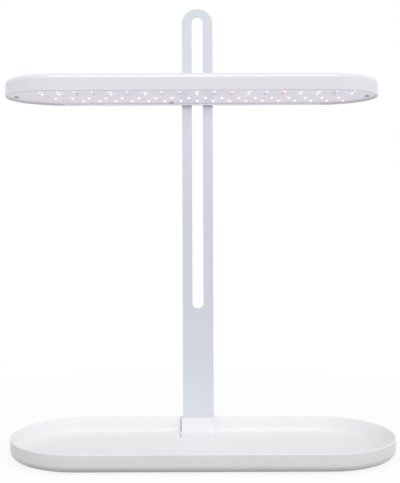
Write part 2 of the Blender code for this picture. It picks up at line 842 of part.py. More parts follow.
def make_shoe(holder):
    """Nylon shoe between hanger plate and mast, with a key that runs in the slot."""
    half = shoe_height / 2
    shoe = box("guide_shoe", (mast_x - shoe_length / 2, shoe_front_y, clamp_z - half),
               (mast_x + shoe_length / 2, shoe_front_y + shoe_thickness, clamp_z + half))
    key_width = slot_width - 2 * fit_gap
    key_depth = mast_back_y - shoe_front_y - fit_gap - join_depth
    outline = [(-y, x) for x, y in stadium(key_height, key_width, slot_steps)]
    key = slab("guide_key", [outline], key_depth)
    key.data.transform(Matrix.Rotation(math.pi / 2, 4, "X"))
    key.location = (mast_x, mast_back_y - fit_gap, clamp_z)
    combine(shoe, key, "UNION")
    combine(shoe, rod("shoe_bore", bore_radius, (mast_x, shoe_front_y - cut_overrun, clamp_z),
                      (mast_x, mast_back_y + cut_overrun, clamp_z)))
    carry(dress(shoe, (0.80, 0.80, 0.80), 0.5), holder)


def make_bolt(holder):
    """Domed clamp bolt from the front of the hanger plate into the knob's insert."""
    tip = hanger_front_y - fit_gap - knob_front_y - fit_gap - insert_length + bolt_end_gap
    bolt = turned("clamp_bolt", [
        (0, bolt_head_height), (bolt_head_radius * recess_depth_share, bolt_head_height),
        (bolt_head_radius, bolt_head_height * (1 - recess_depth_share)),
        (bolt_head_radius, 0), (bolt_radius, 0), (bolt_radius, tip), (0, tip)])
    bolt.rotation_euler.x = math.pi / 2
    bolt.location = (mast_x, hanger_front_y - fit_gap, clamp_z)
    carry(dress(bolt, (0.6, 0.6, 0.62), 0.3, 1.0), holder)


def make_washer(holder):
    """Pressure washer between mast and knob, turned about the bolt."""
    washer = turned("pressure_washer", [
        (bore_radius, washer_thickness), (washer_radius, washer_thickness),
        (washer_radius, 0), (bore_radius, 0), (bore_radius, washer_thickness)])
    washer.rotation_euler.x = -math.pi / 2
    washer.location = (mast_x, washer_front_y, clamp_z)
    carry(dress(washer, (0.65, 0.65, 0.67), 0.3, 1.0), holder)


def make_knob(holder):
    """Lobed hand knob with a brass threaded insert."""
    outline = []
    count = knob_lobes * knob_lobe_steps
    for step in range(count):
        angle = 2 * math.pi * step / count
        radius = knob_radius - knob_lobe_depth * (1 - math.cos(knob_lobes * angle)) / 2
        outline.append((radius * math.cos(angle), radius * math.sin(angle)))
    knob = slab("clamp_knob", [outline], knob_depth, knob_edge_round)
    knob.rotation_euler.x = -math.pi / 2
    knob.location = (mast_x, knob_front_y, clamp_z)
    combine(knob, rod("insert_bore", insert_radius + fit_gap,
                      (mast_x, knob_front_y - cut_overrun, clamp_z),
                      (mast_x, knob_front_y + knob_depth - knob_back_wall, clamp_z)))
    carry(dress(knob, (0.82, 0.82, 0.84), 0.4), holder)
    insert = turned("knob_insert", [
        (bore_radius, insert_length), (insert_radius, insert_length),
        (insert_radius, 0), (bore_radius, 0), (bore_radius, insert_length)], small_steps)
    insert.rotation_euler.x = -math.pi / 2
    insert.location = (mast_x, knob_front_y + fit_gap, clamp_z)
    carry(dress(insert, (0.75, 0.55, 0.25), 0.3, 1.0), holder)


def make_stand():
    """Everything that stays still: tray, feet, bracket, mast and their screws."""
    make_tray()
    make_feet()
    make_bracket()
    make_mast()
    make_bracket_screws()


def make_head():
    """The head slides along Z; its knob turns about the bolt and its button presses."""
    head = empty("head_slide", (mast_x, head_rear_y, clamp_z))
    make_head_shell(head)
    make_led_board(head)
    make_board_screws(head)
    make_spreader(head)
    make_driver(head)
    make_jack(head)
    make_leads(head)
    make_switch(head)
    make_hanger(head)
    make_shoe(head)
    make_bolt(head)
    make_washer(empty("washer_backoff", (mast_x, washer_front_y, clamp_z)))
    make_knob(empty("knob_turn", (mast_x, knob_front_y, clamp_z)))
    make_button(empty("button_press", (button_x, driver_y, flange_top_z)))


make_stand()
make_head()
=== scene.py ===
"""Looks of the LED grow lamp: a moulded tray, a coated mast and a lit head that slides on it.

Metres, +Z up, the front faces -Y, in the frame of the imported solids.
"""

import logging
import math
from collections.abc import Callable, Iterable
from dataclasses import dataclass, field
from enum import Enum

import bmesh
import bpy
from mathutils import Matrix, Vector


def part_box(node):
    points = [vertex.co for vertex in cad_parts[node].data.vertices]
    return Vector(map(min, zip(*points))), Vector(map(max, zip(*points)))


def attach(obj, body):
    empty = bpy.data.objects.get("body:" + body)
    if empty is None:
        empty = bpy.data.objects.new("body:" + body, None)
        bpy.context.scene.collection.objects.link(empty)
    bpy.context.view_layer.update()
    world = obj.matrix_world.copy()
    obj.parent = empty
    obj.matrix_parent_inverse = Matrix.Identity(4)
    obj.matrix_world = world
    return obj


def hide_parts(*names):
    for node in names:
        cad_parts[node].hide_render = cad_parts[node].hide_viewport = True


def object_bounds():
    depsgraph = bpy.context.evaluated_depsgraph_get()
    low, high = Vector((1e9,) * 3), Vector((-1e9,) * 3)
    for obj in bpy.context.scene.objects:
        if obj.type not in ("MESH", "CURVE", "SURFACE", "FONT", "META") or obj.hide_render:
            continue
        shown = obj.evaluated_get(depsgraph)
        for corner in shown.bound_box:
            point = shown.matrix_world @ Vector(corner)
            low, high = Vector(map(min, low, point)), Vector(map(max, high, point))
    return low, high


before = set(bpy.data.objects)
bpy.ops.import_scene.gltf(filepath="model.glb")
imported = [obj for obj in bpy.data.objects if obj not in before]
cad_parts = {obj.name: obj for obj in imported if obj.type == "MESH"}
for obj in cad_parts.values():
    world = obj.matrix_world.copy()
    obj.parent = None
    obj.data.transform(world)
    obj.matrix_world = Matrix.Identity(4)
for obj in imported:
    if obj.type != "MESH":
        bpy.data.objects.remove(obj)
solid_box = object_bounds()

log = logging.getLogger("grow_lamp")

Colour = tuple[float, float, float]
Socket = bpy.types.NodeSocket
Source = Socket | float | tuple

NEAR = 0.00004
NEARLY_ALONG = 0.99
MERGE_REACH = 0.000005
CUT_OVERRUN = 0.002
FIT_GAP = 0.0003
SHADE_ANGLE = math.radians(32)
EDGE_ANGLE = math.radians(40)
PLAIN_WHITE = (1.0, 1.0, 1.0, 1.0)


class Body(Enum):
    """Bodies of the lamp that a piece can ride on."""

    STAND = "stand"
    HEAD = "head"
    WASHER = "washer"
    KNOB = "knob"
    BUTTON = "button"


class Facing(Enum):
    """Turns about X that point a piece's +Z along another direction."""

    UP = 0.0
    DOWN = math.pi
    BACK = -math.pi / 2
    FRONT = math.pi / 2


class Recess(Enum):
    """Drive recesses of the screws."""

    CROSS = "cross"
    HEXAGON = "hexagon"


class Glow(Enum):
    """Colours of the light packages."""

    WHITE = "white"
    FAINT = "faint"
    RED = "red"
    VIOLET = "violet"


@dataclass(frozen=True)
class Room:
    """The box that a solid fills."""

    low: Vector
    high: Vector

    @classmethod
    def of(cls, node: str) -> "Room":
        """Measure a solid."""
        return cls(*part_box(node))

    @property
    def size(self) -> Vector:
        """Return the box's size."""
        return self.high - self.low

    @property
    def middle(self) -> Vector:
        """Return the box's middle."""
        return (self.low + self.high) / 2

    def at(self, **places: float) -> Vector:
        """Return the middle with the named coordinates replaced."""
        return Vector([places.get(axis, getattr(self.middle, axis)) for axis in "xyz"])


class Graph:
    """Adds and links the nodes of one node tree."""

    def __init__(self, tree: bpy.types.NodeTree) -> None:
        """Keep the tree that the nodes go into."""
        self.tree = tree

    def feed(self, node: bpy.types.Node, sources: dict[str | int, Source]) -> None:
        """Link sockets to a node's inputs, or set the inputs to plain values.

        Args:
            node: the node.
            sources: sockets, numbers or tuples by the input's name or number.
        """
        for title, source in sources.items():
            if isinstance(source, Socket):
                self.tree.links.new(source, node.inputs[title])
            else:
                node.inputs[title].default_value = source

    def add(self, kind: str, sources: dict[str | int, Source], **options: object) -> bpy.types.Node:
        """Add a node, set its options and feed it.

        Args:
            kind: the node's type name.
            sources: what feeds its inputs.
            options: option names and values.

        Returns:
            The new node.
        """
        made = self.tree.nodes.new(kind)
        for name, value in options.items():
            setattr(made, name, value)
        self.feed(made, sources)
        return made

    def read(self, kind: str, output: str) -> Socket:
        """Add a node that has no inputs and return one of its outputs."""
        return self.add(kind, {}).outputs[output]

    def calc(self, operation: str, *values: Source) -> Socket:
        """Add a Math node and return its result."""
        return self.add("ShaderNodeMath", dict(enumerate(values)), operation=operation).outputs[0]

    def noise(self, vector: Source, scale: Source, detail: float = 2.0) -> Socket:
        """Return a Noise texture's value, at a scale of cells to a metre."""
        sources = {"Vector": vector, "Scale": scale, "Detail": detail}
        return self.add("ShaderNodeTexNoise", sources).outputs["Fac"]

    def spread(self, value: Source, low: Source, high: Source) -> Socket:
        """Map a value from 0 and 1 to a low and a high value."""
        sources = {"Value": value, "To Min": low, "To Max": high}
        return self.add("ShaderNodeMapRange", sources).outputs["Result"]

    def ramp(self, value: Source, start: float, end: float) -> Socket:
        """Map a value from a start and an end to 0 and 1, and clamp it."""
        sources = {"Value": value, "From Min": start, "From Max": end}
        return self.add("ShaderNodeMapRange", sources).outputs["Result"]

    def blend(self, share: Source, first: Source, second: Source) -> Socket:
        """Mix two colours, of which the share says how much of the second shows."""
        sources = {"Factor": share, 6: first, 7: second}
        return self.add("ShaderNodeMix", sources, data_type="RGBA").outputs[2]

    def bump(self, strength: Source, distance: float, height: Source, **under: Source) -> Socket:
        """Return a normal that a height bends, from a flat or a given Normal."""
        sources = {"Strength": strength, "Distance": distance, "Height": height, **under}
        return self.add("ShaderNodeBump", sources).outputs["Normal"]

    def show(self, ending: str, share: Source, first: Socket, second: Socket) -> None:
        """Mix two shaders into the tree's output node of that name."""
        mixed = self.add("ShaderNodeMixShader", {0: share, 1: first, 2: second}).outputs[0]
        self.feed(self.tree.nodes[ending], {"Surface": mixed})


class Effect:
    """Shader node groups that several finishes share, each built once."""

    peel_detail = 3.0
    peel_height = 0.0002
    mottle_detail = 4.0
    settling_power = 3.0
    patch_scale = 40.0
    patch_detail = 6.0
    speck_scale = 1400.0
    scratch_stretch = (1.0, 30.0, 30.0)
    scratch_scale = 120.0
    scratch_detail = 5.0
    scratch_height = 0.0001

    @staticmethod
    def start(name: str, inputs: dict[str, float],
              outputs: dict[str, str]) -> tuple[Graph, dict[str, Socket], bpy.types.Node]:
        """Make an empty group with a Vector input and named sockets.

        Args:
            name: the group's name.
            inputs: names and starting values of its number inputs.
            outputs: names and kinds of its outputs.

        Returns:
            The graph, the group's inputs by name and the node that takes its outputs.
        """
        tree = bpy.data.node_groups.new(name, "ShaderNodeTree")
        new_socket = tree.interface.new_socket
        new_socket("Vector", in_out="INPUT", socket_type="NodeSocketVector")
        for title, value in inputs.items():
            new_socket(title, in_out="INPUT", socket_type="NodeSocketFloat").default_value = value
        for title, kind in outputs.items():
            new_socket(title, in_out="OUTPUT", socket_type=f"NodeSocket{kind}")
        graph = Graph(tree)
        entry = graph.add("NodeGroupInput", {})
        return graph, {socket.name: socket for socket in entry.outputs}, graph.add("NodeGroupOutput", {})

    @classmethod
    def moulding(cls) -> bpy.types.NodeTree:
        """Fine skin of a moulded or coated surface.

        Returns:
            A group that gives a bumped normal and a slow mottling from 0 to 1.
        """
        graph, entry, leave = cls.start("moulding", {"Grain": 900.0, "Depth": 0.1, "Waviness": 14.0},
                                        {"Normal": "Vector", "Mottle": "Float"})
        peel = graph.noise(entry["Vector"], entry["Grain"], cls.peel_detail)
        graph.feed(leave, {"Normal": graph.bump(entry["Depth"], cls.peel_height, peel),
                           "Mottle": graph.noise(entry["Vector"], entry["Waviness"], cls.mottle_detail)})
        return graph.tree

    @classmethod
    def dust(cls) -> bpy.types.NodeTree:
        """Thin dust that settles on faces that look up.

        Returns:
            A group that gives the dust's cover from 0 to 1.
        """
        graph, entry, leave = cls.start("dust", {"Amount": 0.2}, {"Cover": "Float"})
        parts = graph.add("ShaderNodeSeparateXYZ", {0: graph.read("ShaderNodeNewGeometry", "Normal")})
        cover = graph.calc("POWER", graph.calc("MAXIMUM", parts.outputs["Z"], 0.0), cls.settling_power)
        patches = graph.noise(entry["Vector"], cls.patch_scale, cls.patch_detail)
        specks = graph.noise(entry["Vector"], cls.speck_scale)
        for factor in (graph.calc("MULTIPLY", patches, specks), entry["Amount"]):
            cover = graph.calc("MULTIPLY", cover, factor)
        graph.feed(leave, {"Cover": graph.calc("MINIMUM", cover, 1.0)})
        return graph.tree

    @classmethod
    def brushing(cls) -> bpy.types.NodeTree:
        """Fine scratches drawn out along X.

        Returns:
            A group that gives a bumped normal and the scratches from 0 to 1.
        """
        graph, entry, leave = cls.start("brushing", {"Depth": 0.1},
                                        {"Normal": "Vector", "Scratches": "Float"})
        drawn = graph.add("ShaderNodeMapping", {"Vector": entry["Vector"], "Scale": cls.scratch_stretch})
        lines = graph.noise(drawn.outputs["Vector"], cls.scratch_scale, cls.scratch_detail)
        graph.feed(leave, {"Normal": graph.bump(entry["Depth"], cls.scratch_height, lines),
                           "Scratches": lines})
        return graph.tree


class Surface(Graph):
    """Graph of a material, with its shader and its object coordinates."""

    def __init__(self, material: bpy.types.Material) -> None:
        """Start from the material's own shader.

        Args:
            material: the new material.
        """
        material.use_nodes = True
        super().__init__(material.node_tree)
        self.shader = self.tree.nodes["Principled BSDF"]
        self.where = self.read("ShaderNodeTexCoord", "Object")

    def paint(self, sources: dict[str | int, Source]) -> None:
        """Feed the material's shader."""
        self.feed(self.shader, sources)

    def effect(self, build: Callable[[], bpy.types.NodeTree], **values: float) -> dict[str, Socket]:
        """Place a shared effect, whose group is built the first time.

        Args:
            build: builds the group that has its name.
            values: the group's inputs by name.

        Returns:
            The effect's outputs by name.
        """
        tree = bpy.data.node_groups.get(build.__name__) or build()
        made = self.add("ShaderNodeGroup", {"Vector": self.where, **values}, node_tree=tree)
        return {socket.name: socket for socket in made.outputs}


@dataclass(frozen=True)
class Finish:
    """A surface finish that becomes one material, to which each kind adds its own nodes."""

    name: str
    slot: str
    colour: Colour
    roughness: float

    def material(self) -> bpy.types.Material:
        """Make the material, or find it if it was made before.

        Returns:
            The material.
        """
        known = bpy.data.materials.get(self.name)
        if known:
            return known
        made = bpy.data.materials.new(self.name)
        surface = Surface(made)
        surface.paint({"Base Color": (*self.colour, 1.0), "Roughness": self.roughness})
        self.dress(surface)
        return made

    def dress(self, surface: Surface) -> None:
        """Add this finish's own nodes."""
        raise NotImplementedError

    def shade(self, factor: float) -> tuple[float, float, float, float]:
        """Return the colour made darker or lighter by a factor, with full alpha."""
        return (*(min(1.0, part * factor) for part in self.colour), 1.0)

    def tone(self, surface: Surface, share: Source, factors: tuple[float, float]) -> Socket:
        """Vary the colour between two factors."""
        return surface.blend(share, self.shade(factors[0]), self.shade(factors[1]))

    def gloss(self, surface: Surface, share: Source, change: float) -> Socket:
        """Vary the roughness to either side."""
        return surface.spread(share, self.roughness - change, self.roughness + change)


@dataclass(frozen=True)
class Moulded(Finish):
    """Moulded plastic: a faint orange peel, a slow change of gloss and a little dust.

    Level faces can be more matt than the rest, as where a mould is textured.
    """

    grain: float = 900.0
    depth: float = 0.05
    tones: tuple[float, float] = (0.985, 1.015)
    gloss_change: float = 0.06
    dust: float = 0.25
    shine: float = 0.5
    level_shine: float = 0.5
    level_start: float = 0.96
    dust_colour: Colour = (0.62, 0.60, 0.57)

    def dress(self, surface: Surface) -> None:
        """Add orange peel, mottled gloss and dust.

        Args:
            surface: the material's graph.
        """
        skin = surface.effect(Effect.moulding, Grain=self.grain, Depth=self.depth)
        cover = surface.effect(Effect.dust, Amount=self.dust)["Cover"]
        facing = surface.add("ShaderNodeSeparateXYZ", {0: surface.read("ShaderNodeTexCoord", "Normal")})
        level = surface.ramp(facing.outputs["Z"], self.level_start, 1.0)
        tone = self.tone(surface, skin["Mottle"], self.tones)
        gloss = self.gloss(surface, skin["Mottle"], self.gloss_change)
        surface.paint({"Normal": skin["Normal"],
                       "Base Color": surface.blend(cover, tone, (*self.dust_colour, 1.0)),
                       "Roughness": surface.calc("ADD", gloss, cover),
                       "Specular IOR Level": surface.spread(level, self.shine, self.level_shine)})


@dataclass(frozen=True)
class Coated(Finish):
    """Powder coat on metal: a fine pebbled skin with a soft sheen."""

    grain: float = 1700.0
    depth: float = 0.22
    waviness: float = 22.0
    tones: tuple[float, float] = (0.975, 1.025)
    gloss_change: float = 0.05
    dust: float = 0.15

    def dress(self, surface: Surface) -> None:
        """Add the pebbled skin, a mottled gloss and dust.

        Args:
            surface: the material's graph.
        """
        skin = surface.effect(Effect.moulding, Grain=self.grain, Depth=self.depth, Waviness=self.waviness)
        cover = surface.effect(Effect.dust, Amount=self.dust)["Cover"]
        gloss = self.gloss(surface, skin["Mottle"], self.gloss_change)
        surface.paint({"Normal": skin["Normal"], "Roughness": surface.calc("ADD", gloss, cover),
                       "Base Color": self.tone(surface, skin["Mottle"], self.tones)})


@dataclass(frozen=True)
class Metal(Finish):
    """Bare or plated metal with fine scratches."""

    depth: float = 0.12
    tones: tuple[float, float] = (0.88, 1.08)
    gloss_change: float = 0.1

    def dress(self, surface: Surface) -> None:
        """Add scratches to the normal, the tone and the gloss.

        Args:
            surface: the material's graph.
        """
        marks = surface.effect(Effect.brushing, Depth=self.depth)
        surface.paint({"Metallic": 1.0, "Normal": marks["Normal"],
                       "Base Color": self.tone(surface, marks["Scratches"], self.tones),
                       "Roughness": self.gloss(surface, marks["Scratches"], self.gloss_change)})


@dataclass(frozen=True)
class Rubber(Finish):
    """Matt rubber with a coarse grain and a dusty tone."""

    grain: float = 2200.0
    depth: float = 0.5
    tones: tuple[float, float] = (0.8, 1.35)

    def dress(self, surface: Surface) -> None:
        """Add a coarse grain and a dusty tone."""
        skin = surface.effect(Effect.moulding, Grain=self.grain, Depth=self.depth)
        surface.paint({"Normal": skin["Normal"],
                       "Base Color": self.tone(surface, skin["Mottle"], self.tones)})


@dataclass(frozen=True)
class LitPanel(Finish):
    """White solder mask over copper tracks, with the light of the packages that stand on it painted on as
    emission.
    """

    grain: float = 1500.0
    depth: float = 0.1
    tones: tuple[float, float] = (0.97, 1.02)
    track_pitch: float = 0.020
    track_depth: float = 0.25
    track_height: float = 0.0001
    track_edge: float = 0.35
    wave_period: float = math.pi / 10
    light: float = 1.0
    attribute: str = "glow"

    def dress(self, surface: Surface) -> None:
        """Add the relief of the tracks and the painted pools of light round the packages.

        Args:
            surface: the material's graph.
        """
        skin = surface.effect(Effect.moulding, Grain=self.grain, Depth=self.depth)
        bands = surface.add("ShaderNodeTexWave",
                            {"Vector": surface.where, "Scale": self.wave_period / self.track_pitch},
                            wave_type="BANDS", bands_direction="Y", wave_profile="SIN")
        track = surface.calc("GREATER_THAN", bands.outputs["Fac"], self.track_edge)
        relief = surface.bump(self.track_depth, self.track_height, track, Normal=skin["Normal"])
        # Painted light: the board glows by a stored colour for the packages' light, though it is no lamp.
        pools = surface.add("ShaderNodeAttribute", {}, attribute_name=self.attribute)
        surface.paint({"Normal": relief, "Base Color": self.tone(surface, track, self.tones),
                       "Emission Color": pools.outputs["Color"], "Emission Strength": self.light})


@dataclass(frozen=True)
class LitLens(Finish):
    """Clear silicone dome over a lit chip: its middle shines and its edge fades."""

    rim_colour: Colour = (0.66, 0.64, 0.72)
    base_tone: Colour = (0.10, 0.10, 0.10)
    cloud_scale: float = 700.0
    cloud_depth: float = 0.15
    fade: float = 1.4

    def dress(self, surface: Surface) -> None:
        """Make the dome shine, with a softer rim.

        Args:
            surface: the material's graph.
        """
        middle = surface.calc("SUBTRACT", 1.0, surface.read("ShaderNodeLayerWeight", "Facing"))
        cloud = surface.calc("MULTIPLY", surface.noise(surface.where, self.cloud_scale), self.cloud_depth)
        middle = surface.calc("MAXIMUM", surface.calc("SUBTRACT", middle, cloud), 0.0)
        shine = surface.blend(surface.calc("POWER", middle, self.fade), (*self.rim_colour, 1.0),
                              (*self.colour, 1.0))
        surface.paint({"Base Color": (*self.base_tone, 1.0), "Emission Color": shine,
                       "Emission Strength": 1.0})


@dataclass(frozen=True)
class CircuitBoard(Finish):
    """Green board with copper tracks under its mask."""

    grain: float = 1200.0
    depth: float = 0.1
    tile_scale: float = 160.0
    tile_shift: float = 0.3
    track_width: float = 0.03
    tones: tuple[float, float, float] = (1.0, 1.2, 1.9)

    def dress(self, surface: Surface) -> None:
        """Add a pattern of tracks.

        Args:
            surface: the material's graph.
        """
        parts = dict(zip(("Color1", "Color2", "Mortar"), map(self.shade, self.tones)))
        tiles = surface.add("ShaderNodeTexBrick", {"Vector": surface.where, "Scale": self.tile_scale,
                                                   "Mortar Size": self.track_width, **parts},
                            offset=self.tile_shift, squash=1.0)
        skin = surface.effect(Effect.moulding, Grain=self.grain, Depth=self.depth)
        surface.paint({"Base Color": tiles.outputs["Color"], "Normal": skin["Normal"]})


TRAY_PLASTIC = Moulded("tray_plastic", "tray_white", (0.892, 0.889, 0.886), 0.14, dust=0.03, shine=0.2,
                       level_shine=0.0)
BRACKET_PLASTIC = Moulded("bracket_plastic", "bracket_white", (0.862, 0.861, 0.878), 0.45, dust=0.03,
                          shine=0.15, level_shine=0.3)
HEAD_PLASTIC = Moulded("head_plastic", "head_white", (0.83, 0.83, 0.858), 0.16, dust=0.05)
KNOB_PLASTIC = Moulded("knob_plastic", "knob_white", (0.82, 0.82, 0.84), 0.42, grain=1500.0, depth=0.25)
BUTTON_PLASTIC = Moulded("button_plastic", "button_grey", (0.70, 0.71, 0.73), 0.4, grain=1800.0, depth=0.2)
MAST_COAT = Coated("mast_coating", "mast_coat", (0.695, 0.72, 0.775), 0.42)
HANGER_COAT = Coated("hanger_coating", "hanger_white", (0.84, 0.84, 0.86), 0.38)
FOOT_RUBBER = Rubber("foot_pad_rubber", "foot_rubber", (0.05, 0.05, 0.05), 0.85)
BRACKET_ZINC = Metal("bracket_screw_zinc", "bracket_screw_steel", (0.60, 0.60, 0.62), 0.32)
FLOOR_ZINC = Metal("floor_screw_zinc", "floor_screw_steel", (0.60, 0.60, 0.62), 0.32)
BOLT_ZINC = Metal("bolt_zinc", "bolt_steel", (0.62, 0.62, 0.64), 0.28)
WASHER_ZINC = Metal("washer_zinc", "washer_steel", (0.65, 0.65, 0.67), 0.25)
PANEL_SCREW = Metal("board_screw_zinc", "board_screw_steel", (0.42, 0.42, 0.44), 0.38)
SHOE_NYLON = Moulded("shoe_plastic", "shoe_nylon", (0.80, 0.80, 0.79), 0.5, depth=0.12)
JACK_PLASTIC = Moulded("jack_plastic", "jack_black", (0.03, 0.03, 0.03), 0.45, dust=0.05)
JACK_NICKEL = Metal("jack_pin_nickel", "jack_black", (0.72, 0.70, 0.66), 0.2)
PANEL_MASK = LitPanel("panel_mask", "panel_white", (0.56, 0.545, 0.575), 0.42)
FRAME_RESIN = Moulded("package_resin", "panel_white", (0.88, 0.87, 0.88), 0.4, depth=0.05, dust=0.0)

LENSES = {
    Glow.WHITE: LitLens("lens_white", "panel_white", (1.1, 1.08, 1.14), 0.3),
    Glow.FAINT: LitLens("lens_faint", "panel_white", (0.88, 0.86, 0.94), 0.3),
    Glow.RED: LitLens("lens_red", "panel_white", (0.67, 0.46, 0.55), 0.3, (0.50, 0.30, 0.37)),
    Glow.VIOLET: LitLens("lens_violet", "panel_white", (0.55, 0.49, 0.66), 0.3, (0.38, 0.33, 0.48)),
}

INNER_FINISHES = {
    "heat_spreader": Metal("spreader_sheet", "spreader_aluminium", (0.75, 0.76, 0.77), 0.35),
    "driver_pad": Rubber("thermal_pad", "pad_grey", (0.40, 0.42, 0.45), 0.8),
    "driver_board": CircuitBoard("driver_laminate", "board_green", (0.03, 0.17, 0.07), 0.45),
    "filter_capacitor": Metal("capacitor_can", "capacitor_dark", (0.10, 0.10, 0.16), 0.35),
    "power_coil": Moulded("coil_ferrite", "coil_dark", (0.08, 0.075, 0.07), 0.6, depth=0.3, dust=0.0),
    "led_regulator": Moulded("regulator_epoxy", "regulator_black", (0.035, 0.035, 0.035), 0.5, dust=0.0),
    "lead_positive": Moulded("red_insulation", "lead_red", (0.50, 0.02, 0.02), 0.4, dust=0.0),
    "lead_negative": Moulded("black_insulation", "lead_black", (0.03, 0.03, 0.03), 0.4, dust=0.0),
    "push_switch": Moulded("switch_plastic", "switch_black", (0.06, 0.06, 0.07), 0.45, dust=0.0),
    "knob_insert": Metal("insert_turned_brass", "insert_brass", (0.75, 0.56, 0.27), 0.28),
    "hanger_screw_left": Metal("left_hanger_zinc", "hanger_screw_steel", (0.60, 0.60, 0.62), 0.32),
    "hanger_screw_right": Metal("right_hanger_zinc", "hanger_screw_steel", (0.60, 0.60, 0.62), 0.32),
}


def clear_bench() -> None:
    """Leave edit mode and select nothing."""
    active = bpy.context.view_layer.objects.active
    if active and active.mode != "OBJECT":
        bpy.ops.object.mode_set(mode="OBJECT")
    bpy.ops.object.select_all(action="DESELECT")


def add_lamp(name: str, size: tuple[float, float], power: float) -> bpy.types.Object:
    """Add a rectangular lamp.

    Args:
        name: its name.
        size: its two lengths.
        power: its power in watts.

    Returns:
        The lamp, at the origin.
    """
    data = bpy.data.lights.new(name, "AREA")
    data.shape = "RECTANGLE"
    data.size, data.size_y = size
    data.energy = power
    lamp = bpy.data.objects.new(name, data)
    bpy.context.scene.collection.objects.link(lamp)
    return lamp


class Blank:
    """A mesh on the bench, shaped from a primitive with edit-mode operators.

    Its object stays at the origin, so its points are in the frame's metres.
    """

    def __init__(self, name: str, add: Callable[..., set[str]], **settings: object) -> None:
        """Add a primitive and take it up.

        Args:
            name: the piece's name.
            add: the operator that adds the primitive.
            settings: the operator's settings.
        """
        clear_bench()
        add(**settings)
        self.piece = bpy.context.view_layer.objects.active
        self.piece.name = name
        self.piece.data.name = name
        self.settle()

    @classmethod
    def disc(cls, name: str, radius: float, low: float, high: float, sides: int) -> "Blank":
        """Start from a cylinder about the Z axis, between two heights."""
        return cls(name, bpy.ops.mesh.primitive_cylinder_add, vertices=sides, radius=radius,
                   depth=high - low, location=(0, 0, (low + high) / 2))

    @classmethod
    def brick(cls, name: str, low: Vector, high: Vector) -> "Blank":
        """Start from a box between its lowest and its highest corner."""
        return cls(name, bpy.ops.mesh.primitive_cube_add, size=1, location=(low + high) / 2,
                   scale=high - low)

    @classmethod
    def bar(cls, name: str, x: float, half: float, y: tuple[float, float],
            z: tuple[float, float]) -> "Blank":
        """Start from a box that reaches as far to both sides of an X, between two Y and two Z."""
        return cls.brick(name, Vector((x - half, y[0], z[0])), Vector((x + half, y[1], z[1])))

    @classmethod
    def sheet(cls, name: str, low: Vector, high: Vector, pitch: float) -> "Blank":
        """Start from a flat grid at the lower corner's height.

        Args:
            name: the piece's name.
            low: its lowest corner.
            high: its highest corner.
            pitch: size of a cell, about.

        Returns:
            The blank.
        """
        size = high - low
        middle = (low + high) / 2
        return cls(name, bpy.ops.mesh.primitive_grid_add, x_subdivisions=round(size.x / pitch),
                   y_subdivisions=round(size.y / pitch), size=1, location=(middle.x, middle.y, low.z),
                   scale=(size.x, size.y, 1))

    def take_up(self, mode: str) -> None:
        """Make this the active piece, in object or edit mode.

        Args:
            mode: OBJECT or EDIT.
        """
        layer = bpy.context.view_layer
        if layer.objects.active is self.piece and self.piece.mode == mode:
            return
        clear_bench()
        layer.objects.active = self.piece
        self.piece.select_set(True)
        bpy.ops.object.mode_set(mode=mode)

    def settle(self) -> None:
        """Put the object's place, turn and scale into its mesh."""
        self.take_up("OBJECT")
        self.piece.select_set(True)
        bpy.ops.object.transform_apply(location=True, rotation=True, scale=True)

    def pick(self, kind: str, test: Callable[[Vector, Vector], bool]) -> None:
        """Select the faces or the edges that pass a test.

        Args:
            kind: FACE or EDGE.
            test: takes a face's middle and its normal, or the places of an edge's two ends.
        """
        self.take_up("EDIT")
        bpy.ops.mesh.select_mode(type=kind)
        bpy.ops.mesh.select_all(action="DESELECT")
        mesh = bmesh.from_edit_mesh(self.piece.data)
        if kind == "FACE":
            found = [face for face in mesh.faces if test(face.calc_center_median(), face.normal)]
        else:
            found = [edge for edge in mesh.edges if test(edge.verts[0].co, edge.verts[1].co)]
        for element in found:
            element.select_set(True)
        bmesh.update_edit_mesh(self.piece.data)

    def pick_cap(self, way: int) -> None:
        """Select the flat faces that look up, for 1, or down, for -1."""
        self.pick("FACE", lambda middle, normal: normal.z * way > NEARLY_ALONG)

    def pick_all(self) -> None:
        """Select the whole mesh."""
        self.take_up("EDIT")
        bpy.ops.mesh.select_mode(type="VERT")
        bpy.ops.mesh.select_all(action="SELECT")

    def extrude(self, move: Vector) -> None:
        """Draw out what is selected."""
        bpy.ops.mesh.extrude_region_move(TRANSFORM_OT_translate={"value": move})

    def step_cap(self, way: int, width: float, rise: float) -> None:
        """Draw a cap in from its edge and then along Z.

        Args:
            way: 1 for the upper cap, -1 for the lower one.
            width: how far it is drawn in.
            rise: how far it moves up.
        """
        self.pick_cap(way)
        bpy.ops.mesh.inset(thickness=width, depth=0)
        self.extrude(Vector((0, 0, rise)))

    def bevel(self, width: float, steps: int) -> None:
        """Round the selected edges."""
        bpy.ops.mesh.bevel(offset=width, segments=steps, affect="EDGES")

    def round_ring(self, height: float, radius: float, width: float, steps: int) -> None:
        """Round the circular edge at a height and a radius about the Z axis.

        Args:
            height: the edge's Z.
            radius: its radius.
            width: radius of the rounding.
            steps: faces across the rounding.
        """
        def on_ring(*ends: Vector) -> bool:
            return all(abs(end.z - height) < NEAR and abs(end.xy.length - radius) < NEAR for end in ends)

        self.pick("EDGE", on_ring)
        self.bevel(width, steps)

    def round_edges_along(self, axis: int, width: float, steps: int,
                          where: Callable[[Vector], bool] = lambda middle: True) -> None:
        """Round the straight edges that run along an axis.

        Args:
            axis: 0, 1 or 2.
            width: radius of the rounding.
            steps: faces across the rounding.
            where: takes an edge's middle and says if it is meant.
        """
        def runs_along(first: Vector, second: Vector) -> bool:
            run = second - first
            return abs(abs(run[axis]) - run.length) < NEAR and where((first + second) / 2)

        self.pick("EDGE", runs_along)
        self.bevel(width, steps)

